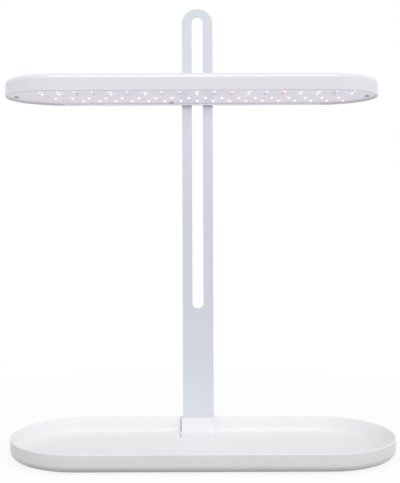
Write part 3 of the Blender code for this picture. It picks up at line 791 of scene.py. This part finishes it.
    def place(self, shift: Vector, facing: Facing = Facing.UP) -> None:
        """Turn the whole mesh about X through the origin, then move it.

        Args:
            shift: how far it moves.
            facing: where its +Z points then.
        """
        self.take_up("OBJECT")
        self.piece.rotation_euler.x = facing.value
        self.piece.location = shift
        self.settle()

    def stretch(self, reach: float) -> None:
        """Cut the piece at X = 0, move its halves apart and join them with straight walls.

        Args:
            reach: how far each half moves.
        """
        self.pick_all()
        bpy.ops.mesh.bisect(plane_co=(0, 0, 0), plane_no=(1, 0, 0), clear_inner=True)
        self.pick_all()
        bpy.ops.transform.translate(value=(reach, 0, 0))
        self.pick("EDGE", lambda first, second: abs(first.x - reach) < NEAR and abs(second.x - reach) < NEAR)
        self.extrude(Vector((-reach, 0, 0)))
        self.modify("MIRROR", merge_threshold=MERGE_REACH)
        self.close()

    def close(self) -> None:
        """Merge doubled points and point the faces outwards."""
        self.pick_all()
        bpy.ops.mesh.remove_doubles(threshold=MERGE_REACH)
        bpy.ops.mesh.normals_make_consistent(inside=False)

    def modify(self, kind: str, **settings: object) -> None:
        """Add a modifier and apply it.

        Args:
            kind: its type.
            settings: its settings.
        """
        modifier = self.piece.modifiers.new(kind.title(), kind)
        for name, value in settings.items():
            setattr(modifier, name, value)
        self.take_up("OBJECT")
        bpy.ops.object.modifier_apply(modifier=modifier.name)

    def combine(self, other: "Blank", operation: str) -> None:
        """Cut, join or keep the shared part with another blank, which is used up.

        Args:
            other: the other blank.
            operation: DIFFERENCE, UNION or INTERSECT.
        """
        other.take_up("OBJECT")
        self.modify("BOOLEAN", operation=operation, object=other.piece)
        bpy.data.objects.remove(other.piece, do_unlink=True)

    def drill(self, radius: float, start: Vector, end: Vector, sides: int) -> None:
        """Cut a round hole between two points that lie along Y or Z.

        Args:
            radius: the hole's radius.
            start: middle of one end.
            end: middle of the other end.
            sides: number of sides of the hole.
        """
        run = end - start
        bit = Blank.disc("bit", radius, 0, run.length, sides)
        bit.place(start, Facing.BACK if run.y > NEAR else Facing.UP)
        self.combine(bit, "DIFFERENCE")

    def soften(self, width: float, steps: int) -> None:
        """Round every sharp edge a little."""
        self.modify("BEVEL", width=width, segments=steps, limit_method="ANGLE", angle_limit=EDGE_ANGLE)

    def repeat(self, places: Iterable[Vector]) -> None:
        """Copy the piece to each place, each copy with its own mesh, and join the copies.

        Args:
            places: shifts from where the piece was modelled.
        """
        self.take_up("OBJECT")
        copies = []
        for place in places:
            copy = self.piece.copy()
            copy.data = self.piece.data.copy()
            copy.location = place
            bpy.context.scene.collection.objects.link(copy)
            copies.append(copy)
        name = self.piece.name
        bpy.data.objects.remove(self.piece, do_unlink=True)
        for copy in copies:
            copy.select_set(True)
        bpy.context.view_layer.objects.active = copies[0]
        bpy.ops.object.join()
        self.piece = copies[0]
        self.piece.name = name
        self.settle()

    def deliver(self, finish: Finish, body: Body, *nodes: str) -> None:
        """Shade the piece, give it its finish and let it ride on a body.

        Args:
            finish: its finish.
            body: the body that it moves with.
            nodes: solids that it stands for.
        """
        self.take_up("OBJECT")
        bpy.ops.object.shade_smooth_by_angle(angle=SHADE_ANGLE)
        self.modify("WEIGHTED_NORMAL", keep_sharp=True)
        self.piece.data.materials.clear()
        self.piece.data.materials.append(finish.material())
        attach(self.piece, body.value)
        if nodes:
            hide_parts(*nodes)
        log.info("%s: %d faces", self.piece.name, len(self.piece.data.polygons))


@dataclass
class Dish:
    """Thin shell with round ends, one flat side and a rounded edge, open on its other side."""

    wall: float
    edge_radius: float
    rim_radius: float
    facing: Facing
    sides: int = 144
    edge_steps: int = 10
    rim_steps: int = 4

    def build(self, node: str, name: str) -> Blank:
        """Model the shell in the place of a solid.

        Args:
            node: the solid whose box it fills.
            name: the piece's name.

        Returns:
            The blank.
        """
        room = Room.of(node)
        outer = room.size.y / 2
        inner = outer - self.wall
        depth = room.size.z
        shell = Blank.disc(name, outer, 0, depth, self.sides)
        shell.step_cap(1, self.wall, self.wall - depth)
        shell.round_ring(0, outer, self.edge_radius, self.edge_steps)
        shell.round_ring(self.wall, inner, self.edge_radius - self.wall, self.edge_steps)
        shell.round_ring(depth, outer, self.rim_radius, self.rim_steps)
        shell.round_ring(depth, inner, self.rim_radius, self.rim_steps)
        shell.stretch(room.size.x / 2 - outer)
        shell.place(room.at(z=room.low.z if self.facing is Facing.UP else room.high.z), self.facing)
        return shell


@dataclass
class Screw:
    """Pan-head screw with a drive recess."""

    head_height: float
    shank_radius: float
    recess: Recess = Recess.CROSS
    sides: int = 40
    crown_share: float = 0.55
    crown_steps: int = 6
    recess_depth_share: float = 0.6
    blade_share: float = 1.1
    blade_width_share: float = 0.26

    def cutter(self, radius: float) -> Blank:
        """Make the tool that cuts the drive recess.

        Args:
            radius: radius of the screw's head.

        Returns:
            The blank of the tool.
        """
        floor = self.head_height * (1 - self.recess_depth_share)
        top = self.head_height + CUT_OVERRUN
        if self.recess is Recess.HEXAGON:
            return Blank.disc("socket", self.shank_radius, floor, top, sides=6)
        long = radius * self.blade_share / 2
        thin = radius * self.blade_width_share / 2
        tool = Blank.bar("blade", 0, long, (-thin, thin), (floor, top))
        tool.combine(Blank.bar("cross", 0, thin, (-long, long), (floor, top)), "UNION")
        return tool

    def build(self, node: str, facing: Facing) -> Blank:
        """Model a screw in the place of a solid.

        Args:
            node: the solid whose box it fills.
            facing: where its head points.

        Returns:
            The blank.
        """
        room = Room.of(node)
        radius = room.size.x / 2
        way = Matrix.Rotation(facing.value, 3, "X") @ Vector((0, 0, 1))
        length = abs(room.size.dot(way))
        screw = Blank.disc(node + "_detail", radius, 0, self.head_height, self.sides)
        screw.step_cap(-1, radius - self.shank_radius, self.head_height - length)
        screw.round_ring(self.head_height, radius, self.head_height * self.crown_share, self.crown_steps)
        screw.combine(self.cutter(radius), "DIFFERENCE")
        screw.place(room.middle + way * (length / 2 - self.head_height), facing)
        return screw


@dataclass
class PlantTray:
    """The shallow tray, its notch for the mast's bracket and its rubber feet."""

    dish: Dish = field(default_factory=lambda: Dish(0.0024, 0.009, 0.0009, Facing.UP))
    edge_round: float = 0.00025
    notch_side_gap: float = 0.0008
    close_gap: float = 0.00005
    foot_seat_depth: float = 0.0003
    foot_seat_margin: float = 0.0006
    foot_round: float = 0.0004
    foot_ring: float = 0.0016
    foot_hollow: float = 0.0004
    foot_sides: int = 48
    feet: tuple[str, ...] = ("foot_front_left", "foot_front_right", "foot_rear_left", "foot_rear_right")

    def build(self) -> None:
        """Model and dress the tray and its feet."""
        tray = self.dish.build("tray", "tray_dish")
        self.notch(tray)
        base = Room.of("tray").low.z
        for room in map(Room.of, self.feet):
            tray.drill(room.size.x / 2 + self.foot_seat_margin, room.at(z=base - CUT_OVERRUN),
                       room.at(z=base + self.foot_seat_depth), self.foot_sides)
        tray.soften(self.edge_round, steps=2)
        tray.deliver(TRAY_PLASTIC, Body.STAND, "tray")
        for foot in self.feet:
            self.pad(foot, base).deliver(FOOT_RUBBER, Body.STAND, foot)

    def notch(self, tray: Blank) -> None:
        """Cut the notch that the bracket sits in."""
        room, mast = Room.of("mast_bracket"), Room.of("mast")
        half = mast.size.x / 2 + BracketAndMast.side_wall
        tray.combine(Blank.brick("notch", Vector((mast.middle.x - half - FIT_GAP - self.notch_side_gap,
                                                  room.low.y - self.close_gap, room.low.z - FIT_GAP)),
                                 Vector((mast.middle.x + half + self.close_gap, room.high.y,
                                         Room.of("tray").high.z + CUT_OVERRUN))), "DIFFERENCE")

    def pad(self, foot: str, top: float) -> Blank:
        """Model a rubber foot with a hollow sole.

        Args:
            foot: the foot's solid.
            top: height of the tray's underside.

        Returns:
            The blank.
        """
        room = Room.of(foot)
        radius = room.size.x / 2
        pad = Blank.disc(foot + "_pad", radius, 0, top, self.foot_sides)
        pad.step_cap(-1, self.foot_ring, self.foot_hollow)
        pad.round_ring(0, radius, self.foot_round, steps=4)
        pad.round_ring(0, radius - self.foot_ring, self.foot_round, steps=3)
        pad.place(room.at(z=0))
        return pad


@dataclass
class BracketAndMast:
    """The slotted mast, the bracket that holds it and their screws."""

    side_wall: float = 0.002
    slot_width: float = 0.014
    slot_foot_rise: float = 0.138
    slot_top_metal: float = 0.010
    hole_radius: float = 0.0022
    mast_edge: float = 0.0005
    tongue_length: float = 0.025
    tongue_thickness: float = 0.001
    tongue_rise: float = 0.0014
    fillet: float = 0.013
    flange_width: float = 0.064
    flange_corner: float = 0.004
    bracket_edge: float = 0.0004
    screw_spacing: float = 0.022
    bracket_screw: Screw = field(default_factory=lambda: Screw(0.0022, 0.0019))
    floor_screw: Screw = field(default_factory=lambda: Screw(0.0007, 0.00125))

    def build(self) -> None:
        """Model and dress mast, bracket and screws."""
        self.mast().deliver(MAST_COAT, Body.STAND, "mast")
        self.bracket().deliver(BRACKET_PLASTIC, Body.STAND, "mast_bracket")
        for side in ("left", "right"):
            node = "bracket_screw_" + side
            self.bracket_screw.build(node, Facing.BACK).deliver(BRACKET_ZINC, Body.STAND, node)
            node = "floor_screw_" + side
            self.floor_screw.build(node, Facing.DOWN).deliver(FLOOR_ZINC, Body.STAND, node)

    def mast(self) -> Blank:
        """Model the flat bar with its round top and its long slot.

        Returns:
            The blank.
        """
        room = Room.of("mast")
        low, high, middle = room.low, room.high, room.middle.x
        bar = Blank.brick("mast_blade", low, high)
        bar.round_edges_along(1, room.size.x / 2 - MERGE_REACH, 32, lambda place: place.z > high.z - NEAR)
        through = (low.y - CUT_OVERRUN, high.y + CUT_OVERRUN)
        half = self.slot_width / 2
        slot = Blank.bar("slot", middle, half, through,
                         (Room.of("tray").high.z + self.slot_foot_rise, high.z - self.slot_top_metal))
        slot.round_edges_along(1, half - MERGE_REACH, steps=20)
        slot.close()
        bar.close()
        bar.combine(slot, "DIFFERENCE")
        screw_z = Room.of("bracket_screw_left").middle.z
        for x in (middle - self.screw_spacing / 2, middle + self.screw_spacing / 2):
            bar.drill(self.hole_radius, *(Vector((x, y, screw_z)) for y in through), sides=32)
        bar.soften(self.mast_edge, steps=3)
        return bar

    def bracket(self) -> Blank:
        """Model the socket block with its tongue on the floor and its flange behind.

        Returns:
            The blank.
        """
        room, mast, tray = map(Room.of, ("mast_bracket", "mast", "tray"))
        low, high, middle = room.low, room.high, mast.middle.x
        front = low.y + self.tongue_length
        base = tray.low.z + self.tongue_rise
        step = base + self.tongue_thickness
        block = Blank.bar("mast_socket", middle, mast.size.x / 2 + self.side_wall, (front, high.y),
                          (base, high.z))
        block.pick_all()
        bpy.ops.mesh.bisect(plane_co=(0, 0, step), plane_no=(0, 0, 1))
        block.pick("FACE", lambda centre, normal: normal.y < -NEARLY_ALONG and centre.z < step)
        block.extrude(Vector((0, -self.tongue_length, 0)))
        block.round_edges_along(0, self.fillet, 12,
                                lambda place: abs(place.z - step) < NEAR and abs(place.y - front) < NEAR)
        flange = Blank.bar("flange", middle, self.flange_width / 2,
                           (tray.high.y + FIT_GAP, high.y - FIT_GAP), (low.z, high.z - FIT_GAP))
        flange.round_edges_along(1, self.flange_corner, steps=8)
        block.combine(flange, "UNION")
        block.combine(Blank.bar("pocket", middle, mast.size.x / 2 + FIT_GAP,
                                (mast.low.y - FIT_GAP, mast.high.y + FIT_GAP),
                                (mast.low.z - FIT_GAP, high.z + CUT_OVERRUN)), "DIFFERENCE")
        block.soften(self.bracket_edge, steps=3)
        return block


@dataclass
class LightPanel:
    """The white panel under the head, its light packages and its screws."""

    thickness: float = 0.0016
    pitch: float = 0.020
    columns: int = 19
    row_offsets: tuple[float, ...] = (-0.0421, -0.0248, 0.0092, 0.0347)
    row_starts: tuple[float, ...] = (0.0, 0.0, 0.5, 2.0)
    outline_sides: int = 144
    package: tuple[float, float, float] = (0.0035, 0.0028, 0.0009)
    package_corner: float = 0.0002
    frame_lip: float = 0.0004
    frame_hollow: float = 0.0003
    lens_radius: float = 0.0019
    lens_height: float = 0.0024
    lens_dome_share: float = 0.92
    cell: float = 0.0016
    # Painted light on the panel: a painted glow over the whole board (pool_base) and a painted pool of light
    # round each package, tinted by its colour.
    pool_reach: float = 0.0055
    pool_end: float = 3.0
    pool_base: Colour = (0.30, 0.285, 0.33)
    pool_colours: dict[Glow, Colour] = field(default_factory=lambda: {
        Glow.WHITE: (0.07, 0.065, 0.08), Glow.FAINT: (0.05, 0.045, 0.06),
        Glow.RED: (0.04, -0.07, -0.04), Glow.VIOLET: (-0.03, -0.07, 0.03)})
    faint_row: int = 0
    coloured_row: int = 1
    coloured_columns: dict[int, Glow] = field(default_factory=lambda: {
        **dict.fromkeys((2, 7, 11, 14), Glow.RED), **dict.fromkeys((3, 5, 8, 10, 13, 17), Glow.VIOLET)})
    lamp_power: float = 0.12
    lamp_colour: Colour = (0.97, 0.93, 1.0)
    lamp_length_share: float = 0.74
    lamp_depth_share: float = 0.985
    lamp_drop: float = 0.0003
    screw: Screw = field(default_factory=lambda: Screw(0.0013, 0.0013))

    def places(self) -> list[tuple[Vector, Glow]]:
        """Find where the packages stand and which colour each has.

        Returns:
            The foot of each package on the panel's lower face, and its colour.
        """
        first_x = Room.of("mast").middle.x - (self.columns - 1) * self.pitch / 2
        head_y = Room.of("head_shell").middle.y
        face = Room.of("led_board").low.z + self.package[2]
        found = []
        for row, (offset, start) in enumerate(zip(self.row_offsets, self.row_starts)):
            for column in range(self.columns - math.ceil(start)):
                glow = Glow.FAINT if row == self.faint_row else Glow.WHITE
                if row == self.coloured_row:
                    glow = self.coloured_columns.get(column, glow)
                x = first_x + (start + column) * self.pitch
                found.append((Vector((x, head_y + offset, face)), glow))
        return found

    def build(self) -> None:
        """Model and dress the panel, the packages and the screws."""
        places = self.places()
        face = places[0][0].z
        panel = self.panel(face)
        self.light_pools(panel.piece.data, places)
        panel.deliver(PANEL_MASK, Body.HEAD, "led_board")
        frames = self.package_frame()
        frames.repeat(place for place, glow in places)
        frames.deliver(FRAME_RESIN, Body.HEAD)
        for glow, finish in LENSES.items():
            lenses = self.lens("lenses_" + glow.value)
            lenses.repeat(place for place, kind in places if kind is glow)
            lenses.deliver(finish, Body.HEAD)
        for name in ("left", "right", "front", "rear"):
            node = "board_screw_" + name
            self.screw.build(node, Facing.DOWN).deliver(PANEL_SCREW, Body.HEAD, node)
        self.lamp(face)

    def lamp(self, face: float) -> None:
        """Hang an area lamp just under the panel, for the light of all the packages together.

        Args:
            face: height of the panel's lower face.
        """
        room = Room.of("led_board")
        lamp = add_lamp("panel_light", (room.size.x * self.lamp_length_share,
                                        room.size.y * self.lamp_depth_share), self.lamp_power)
        lamp.data.color = self.lamp_colour
        lamp.visible_glossy = False
        lamp.location = room.at(z=face - self.lamp_drop)
        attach(lamp, Body.HEAD.value)

    def panel(self, face: float) -> Blank:
        """Model the panel as a finely divided sheet cut to its outline.

        Args:
            face: height of its lower face.

        Returns:
            The blank.
        """
        room = Room.of("led_board")
        margin = Vector((self.cell, self.cell, 0))
        sheet = Blank.sheet("light_panel", Vector((*room.low.xy, face)) - margin,
                            Vector((*room.high.xy, face)) + margin, self.cell)
        sheet.pick_all()
        sheet.extrude(Vector((0, 0, self.thickness)))
        sheet.close()
        outline = Blank.disc("outline", room.size.y / 2, face - CUT_OVERRUN,
                             face + self.thickness + CUT_OVERRUN, self.outline_sides)
        outline.stretch((room.size.x - room.size.y) / 2)
        outline.place(room.at(z=0))
        sheet.combine(outline, "INTERSECT")
        return sheet

    def light_pools(self, mesh: bpy.types.Mesh, places: list[tuple[Vector, Glow]]) -> None:
        """Store on each point of the panel the painted light that the packages cast on it.

        Args:
            mesh: the panel's mesh.
            places: the packages' places and colours.
        """
        pools = mesh.color_attributes.new(PANEL_MASK.attribute, "FLOAT_COLOR", "POINT")
        for point, pool in zip(mesh.vertices, pools.data):
            light = Vector(self.pool_base)
            for place, glow in places:
                apart = (point.co.xy - place.xy).length / self.pool_reach
                if apart < self.pool_end:
                    # add this package's painted pool of light
                    light += Vector(self.pool_colours[glow]) * math.exp(-apart * apart)
            pool.color = (*light, 1.0)

    def package_frame(self) -> Blank:
        """Model the white frame of one package with its foot at the origin.

        Returns:
            The blank.
        """
        length, width, height = self.package
        made = Blank.bar("package_frames", 0, length / 2, (-width / 2, width / 2), (-height, 0))
        made.step_cap(-1, self.frame_lip, self.frame_hollow)
        made.round_edges_along(2, self.package_corner, steps=2)
        return made

    def lens(self, name: str) -> Blank:
        """Model one domed lens with its package's foot at the origin.

        Args:
            name: the piece's name.

        Returns:
            The blank.
        """
        dome = Blank.disc(name, self.lens_radius, -self.lens_height, -self.frame_hollow, sides=16)
        dome.round_ring(-self.lens_height, self.lens_radius, self.lens_radius * self.lens_dome_share, 5)
        return dome


@dataclass
class Head:
    """The lamp head's cover with its power button and its supply socket."""

    dish: Dish = field(default_factory=lambda: Dish(0.002, 0.0065, 0.0007, Facing.DOWN))
    cover_edge: float = 0.0003
    button_radius: float = 0.0065
    button_flange_radius: float = 0.0080
    button_flange: float = 0.001
    button_dip: float = 0.0004
    button_rim_share: float = 0.35
    button_round: float = 0.0005
    button_sides: int = 64
    jack_nose_radius: float = 0.0032
    jack_nose_sides: int = 48
    jack_edge: float = 0.0002
    jack_bore_radius: float = 0.0026
    jack_bore_depth: float = 0.0085
    jack_pin_radius: float = 0.0009
    jack_pin_round_share: float = 0.6
    jack_pin_setback: float = 0.0015

    def build(self) -> None:
        """Model and dress the cover, the button and the socket."""
        cover = self.dish.build("head_shell", "head_cover")
        button, top = Room.of("power_button"), Room.of("head_shell").high.z
        cover.drill(self.button_radius + FIT_GAP, button.at(z=top - self.dish.wall - CUT_OVERRUN),
                    button.at(z=top + CUT_OVERRUN), self.button_sides)
        reach = Vector((0, self.dish.wall + CUT_OVERRUN, 0))
        cover.drill(self.jack_nose_radius + FIT_GAP, self.mouth() - reach, self.mouth() + reach,
                    self.jack_nose_sides)
        cover.soften(self.cover_edge, steps=2)
        cover.deliver(HEAD_PLASTIC, Body.HEAD, "head_shell")
        self.button(top - self.dish.wall - FIT_GAP).deliver(BUTTON_PLASTIC, Body.BUTTON, "power_button")
        self.jack().deliver(JACK_PLASTIC, Body.HEAD, "dc_jack")
        self.jack_pin().deliver(JACK_NICKEL, Body.HEAD)

    def mouth(self) -> Vector:
        """Return the middle of the socket's mouth in the rear wall."""
        room = Room.of("dc_jack")
        return room.at(y=room.high.y)

    def button(self, under: float) -> Blank:
        """Model the button with its dipped top and its flange.

        Args:
            under: height of the flange's upper face.

        Returns:
            The blank.
        """
        room = Room.of("power_button")
        cap = Blank.disc("power_button_cap", self.button_radius, under, room.high.z, self.button_sides)
        cap.pick_cap(-1)
        cap.extrude(Vector((0, 0, -self.button_flange)))
        cap.pick("FACE", lambda centre, normal: abs(normal.z) < NEAR and centre.z < under)
        wider = self.button_flange_radius / self.button_radius
        bpy.ops.transform.resize(value=(wider, wider, 1), center_override=(0, 0, under))
        cap.pick_cap(1)
        bpy.ops.mesh.inset(thickness=self.button_radius * self.button_rim_share, depth=0)
        bpy.ops.transform.translate(value=(0, 0, -self.button_dip))
        cap.round_ring(room.high.z, self.button_radius, self.button_round, steps=4)
        cap.place(room.at(z=0))
        return cap

    def jack(self) -> Blank:
        """Model the socket's body with its round nose and its bore.

        Returns:
            The blank.
        """
        room = Room.of("dc_jack")
        inner = room.high.y - self.dish.wall - FIT_GAP
        body = Blank.brick("supply_socket", room.low, Vector((room.high.x, inner, room.high.z)))
        nose = Blank.disc("nose", self.jack_nose_radius, 0, room.high.y - inner + CUT_OVERRUN,
                          self.jack_nose_sides)
        nose.place(room.at(y=inner - CUT_OVERRUN), Facing.BACK)
        body.combine(nose, "UNION")
        body.drill(self.jack_bore_radius, self.mouth() - Vector((0, self.jack_bore_depth, 0)),
                   self.mouth() + Vector((0, CUT_OVERRUN, 0)), sides=40)
        body.soften(self.jack_edge, steps=2)
        return body

    def jack_pin(self) -> Blank:
        """Model the socket's centre pin with its round tip.

        Returns:
            The blank.
        """
        length = self.jack_bore_depth - self.jack_pin_setback
        radius = self.jack_pin_radius
        pin = Blank.disc("socket_pin", radius, 0, length, sides=24)
        pin.round_ring(length, radius, radius * self.jack_pin_round_share, steps=4)
        pin.place(self.mouth() - Vector((0, self.jack_bore_depth, 0)), Facing.BACK)
        return pin


@dataclass
class Clamp:
    """Hanger plate, key, bolt, washer and hand knob that hold the head on the mast."""

    bolt: Screw = field(default_factory=lambda: Screw(0.0022, 0.0025, Recess.HEXAGON, crown_share=0.8))
    bore_sides: int = 40
    hanger_corner: float = 0.006
    hanger_edge: float = 0.0005
    shoe_thickness: float = 0.001
    shoe_edge: float = 0.0002
    key_width: float = 0.0134
    key_height: float = 0.020
    washer_edge: float = 0.0003
    round_sides: int = 64
    groove_count: int = 6
    groove_depth: float = 0.002
    groove_radius: float = 0.006
    knob_round: float = 0.0013
    knob_cap_share: float = 0.5
    knob_cap_groove: float = 0.0007
    insert_radius: float = 0.005

    def build(self) -> None:
        """Model and dress the clamp's pieces."""
        self.hanger().deliver(HANGER_COAT, Body.HEAD, "hanger_plate")
        self.shoe().deliver(SHOE_NYLON, Body.HEAD, "guide_shoe")
        self.bolt.build("clamp_bolt", Facing.FRONT).deliver(BOLT_ZINC, Body.HEAD, "clamp_bolt")
        self.washer().deliver(WASHER_ZINC, Body.WASHER, "pressure_washer")
        self.knob().deliver(KNOB_PLASTIC, Body.KNOB, "clamp_knob")

    def axis_at(self, y: float) -> Vector:
        """Return the place of the bolt's axis at a Y."""
        return Room.of("pressure_washer").at(y=y)

    def bore(self, piece: Blank, room: Room) -> None:
        """Drill the bolt's hole through a piece that fills a box."""
        piece.drill(self.bolt.shank_radius + FIT_GAP, self.axis_at(room.low.y - CUT_OVERRUN),
                    self.axis_at(room.high.y + CUT_OVERRUN), self.bore_sides)

    def hanger(self) -> Blank:
        """Model the steel plate with its round corners.

        Returns:
            The blank.
        """
        room = Room.of("hanger_plate")
        plate = Blank.brick("hanger_plate_detail", room.low, room.high)
        plate.round_edges_along(1, self.hanger_corner, steps=10)
        self.bore(plate, room)
        plate.soften(self.hanger_edge, steps=3)
        return plate

    def shoe(self) -> Blank:
        """Model the nylon shoe with the key that runs in the slot.

        Returns:
            The blank.
        """
        room = Room.of("guide_shoe")
        low, high = room.low, room.high
        shoe = Blank.brick("guide_shoe_detail", low, Vector((high.x, low.y + self.shoe_thickness, high.z)))
        half = Vector((self.key_width / 2, 0, self.key_height / 2))
        key = Blank.brick("key", self.axis_at(low.y + self.shoe_thickness / 2) - half,
                          self.axis_at(high.y) + half)
        key.round_edges_along(1, self.key_width / 2 - MERGE_REACH, steps=16)
        key.close()
        shoe.combine(key, "UNION")
        self.bore(shoe, room)
        shoe.soften(self.shoe_edge, steps=2)
        return shoe

    def washer(self) -> Blank:
        """Model the pressure washer.

        Returns:
            The blank.
        """
        room = Room.of("pressure_washer")
        ring = Blank.disc("pressure_washer_detail", room.size.x / 2, 0, room.size.y, self.round_sides)
        ring.place(self.axis_at(room.low.y), Facing.BACK)
        self.bore(ring, room)
        ring.soften(self.washer_edge, steps=3)
        return ring

    def knob(self) -> Blank:
        """Model the knob with its finger grooves and its cap.

        Returns:
            The blank.
        """
        room = Room.of("clamp_knob")
        radius, depth = room.size.x / 2, room.size.y
        knob = Blank.disc("clamp_knob_detail", radius, 0, depth, sides=96)
        away = radius - self.groove_depth + self.groove_radius
        for index in range(self.groove_count):
            angle = 2 * math.pi * (index + 0.5) / self.groove_count
            tool = Blank.disc("groove", self.groove_radius, -CUT_OVERRUN, depth + CUT_OVERRUN, sides=48)
            tool.place(Vector((away * math.cos(angle), away * math.sin(angle), 0)))
            knob.combine(tool, "DIFFERENCE")
        knob.soften(self.knob_round, steps=4)
        cap_radius = radius * self.knob_cap_share
        ring = Blank.disc("cap_groove", cap_radius, depth - self.knob_cap_groove, depth + CUT_OVERRUN,
                          self.round_sides)
        ring.combine(Blank.disc("cap", cap_radius - self.knob_cap_groove, 0, depth + 2 * CUT_OVERRUN,
                                self.round_sides), "DIFFERENCE")
        knob.combine(ring, "DIFFERENCE")
        knob.place(self.axis_at(room.low.y), Facing.BACK)
        knob.drill(self.insert_radius + FIT_GAP, self.axis_at(room.low.y - CUT_OVERRUN),
                   self.axis_at(Room.of("knob_insert").high.y + FIT_GAP), self.bore_sides)
        return knob


@dataclass
class InnerParts:
    """The electronics and hidden fasteners, whose solids are right as they are."""

    finishes: dict[str, Finish] = field(default_factory=lambda: INNER_FINISHES)

    def build(self) -> None:
        """Give each solid its finish."""
        for node, finish in self.finishes.items():
            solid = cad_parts[node]
            solid.data.materials.clear()
            solid.data.materials.append(finish.material())
            log.info("%s keeps its solid", node)


@dataclass
class Studio:
    """Pale floor, soft light and a camera where the photograph was taken from."""

    camera_back: float = 1.066
    camera_rise: float = 0.257
    camera_side: float = 0.0029
    camera_roll: float = math.radians(-0.2)
    lens: float = 62.12
    frame_drop: float = -0.0545
    floor_size: float = 12.0
    # Tone of the floor for diffuse rays only: painted shade near the tray and painted light further off, for
    # the bounce that reaches the object; the camera sees the floor white.
    near_floor_tone: Colour = (0.255, 0.24, 0.225)
    far_floor_tone: Colour = (0.63, 0.62, 0.62)
    near_reach: float = 0.30
    far_reach: float = 0.65
    floor_shadow_share: float = 0.13
    sky_tone: Colour = (0.97, 0.983, 1.0)
    sky_level: float = 0.95
    sky_slope: tuple[float, float, float] = (0.22, -0.50, -0.08)
    key_power: float = 5.6
    key_size: tuple[float, float] = (0.9, 0.5)
    key_place: tuple[float, float, float] = (0.0, -0.56, 1.14)

    def build(self) -> None:
        """Make the camera, the floor, the sky and the lamp."""
        for step in (self.camera, self.floor, self.sky, self.key_lamp):
            step()

    def camera(self) -> None:
        """Place the camera in front of the mast, level and slightly rolled."""
        tray = Room.of("tray")
        data = bpy.data.cameras.new("camera")
        data.lens = self.lens
        data.shift_y = self.frame_drop
        camera = bpy.data.objects.new("camera", data)
        bpy.context.scene.collection.objects.link(camera)
        place = Vector((Room.of("mast").middle.x + self.camera_side, tray.high.y - self.camera_back,
                        tray.high.z + self.camera_rise))
        level = Matrix.Rotation(math.pi / 2, 4, "X") @ Matrix.Rotation(self.camera_roll, 4, "Z")
        camera.matrix_world = Matrix.Translation(place) @ level
        bpy.context.scene.camera = camera

    def shown_white(self, graph: Graph) -> Socket:
        """Tell the rays that should meet plain white.

        Args:
            graph: graph of the material or the world.

        Returns:
            A socket that is 1 for camera, glossy and transmission rays.
        """
        path = graph.add("ShaderNodeLightPath", {}).outputs
        seen = graph.calc("MAXIMUM", path["Is Camera Ray"], path["Is Glossy Ray"])
        return graph.calc("MAXIMUM", seen, path["Is Transmission Ray"])

    def floor(self) -> None:
        """Lay a floor that looks white and still takes a faint shadow."""
        clear_bench()
        bpy.ops.mesh.primitive_plane_add(size=self.floor_size)
        floor = bpy.context.view_layer.objects.active
        floor.name = "floor"
        material = bpy.data.materials.new("floor_paper")
        surface = Surface(material)
        # Diffuse rays meet a dark floor near the tray and a lighter one further off: painted shade and light
        # in the bounce, while camera and glossy rays see white.
        apart = surface.add("ShaderNodeVectorMath", {0: surface.where}, operation="LENGTH")
        far = surface.ramp(apart.outputs["Value"], self.near_reach, self.far_reach)
        tone = surface.blend(far, (*self.near_floor_tone, 1.0), (*self.far_floor_tone, 1.0))
        diffuse = surface.read("ShaderNodeLightPath", "Is Diffuse Ray")
        surface.paint({"Base Color": surface.blend(diffuse, PLAIN_WHITE, tone), "Roughness": 1.0,
                       "Specular IOR Level": 0.0})
        share = surface.calc("MULTIPLY", self.shown_white(surface),
                             surface.spread(far, 1 - self.floor_shadow_share, 1.0))
        surface.show("Material Output", share, surface.shader.outputs[0],
                     surface.read("ShaderNodeEmission", "Emission"))
        floor.data.materials.append(material)

    def sky(self) -> None:
        """Light the scene from a sky that is brightest in front and on the right."""
        world = bpy.data.worlds.new("studio")
        world.use_nodes = True
        bpy.context.scene.world = world
        graph = Graph(world.node_tree)
        light = graph.tree.nodes["Background"]
        lean = graph.add("ShaderNodeVectorMath", {0: graph.read("ShaderNodeTexCoord", "Generated"),
                                                  1: self.sky_slope}, operation="DOT_PRODUCT")
        graph.feed(light, {"Color": (*self.sky_tone, 1.0),
                           "Strength": graph.calc("ADD", lean.outputs["Value"], self.sky_level)})
        white = graph.add("ShaderNodeBackground", {"Color": PLAIN_WHITE})
        graph.show("World Output", self.shown_white(graph), light.outputs[0], white.outputs[0])

    def key_lamp(self) -> None:
        """Hang a long softbox above and in front, seen only as a reflection along the edges."""
        lamp = add_lamp("key", self.key_size, self.key_power)
        lamp.visible_diffuse = False
        lamp.location = self.key_place
        target = (solid_box[0] + solid_box[1]) / 2
        lamp.rotation_mode = "QUATERNION"
        lamp.rotation_quaternion = (target - lamp.location).to_track_quat("-Z", "Y")


def main() -> None:
    """Build every sub-assembly in order, then the studio."""
    logging.basicConfig(level=logging.INFO, format="%(name)s: %(message)s")
    for assembly in (PlantTray(), BracketAndMast(), Head(), LightPanel(), Clamp(), InnerParts(), Studio()):
        log.info("building %s", type(assembly).__name__)
        assembly.build()
    clear_bench()
    bpy.context.scene.view_settings.view_transform = "Standard"


if __name__ == "__main__":
    main()
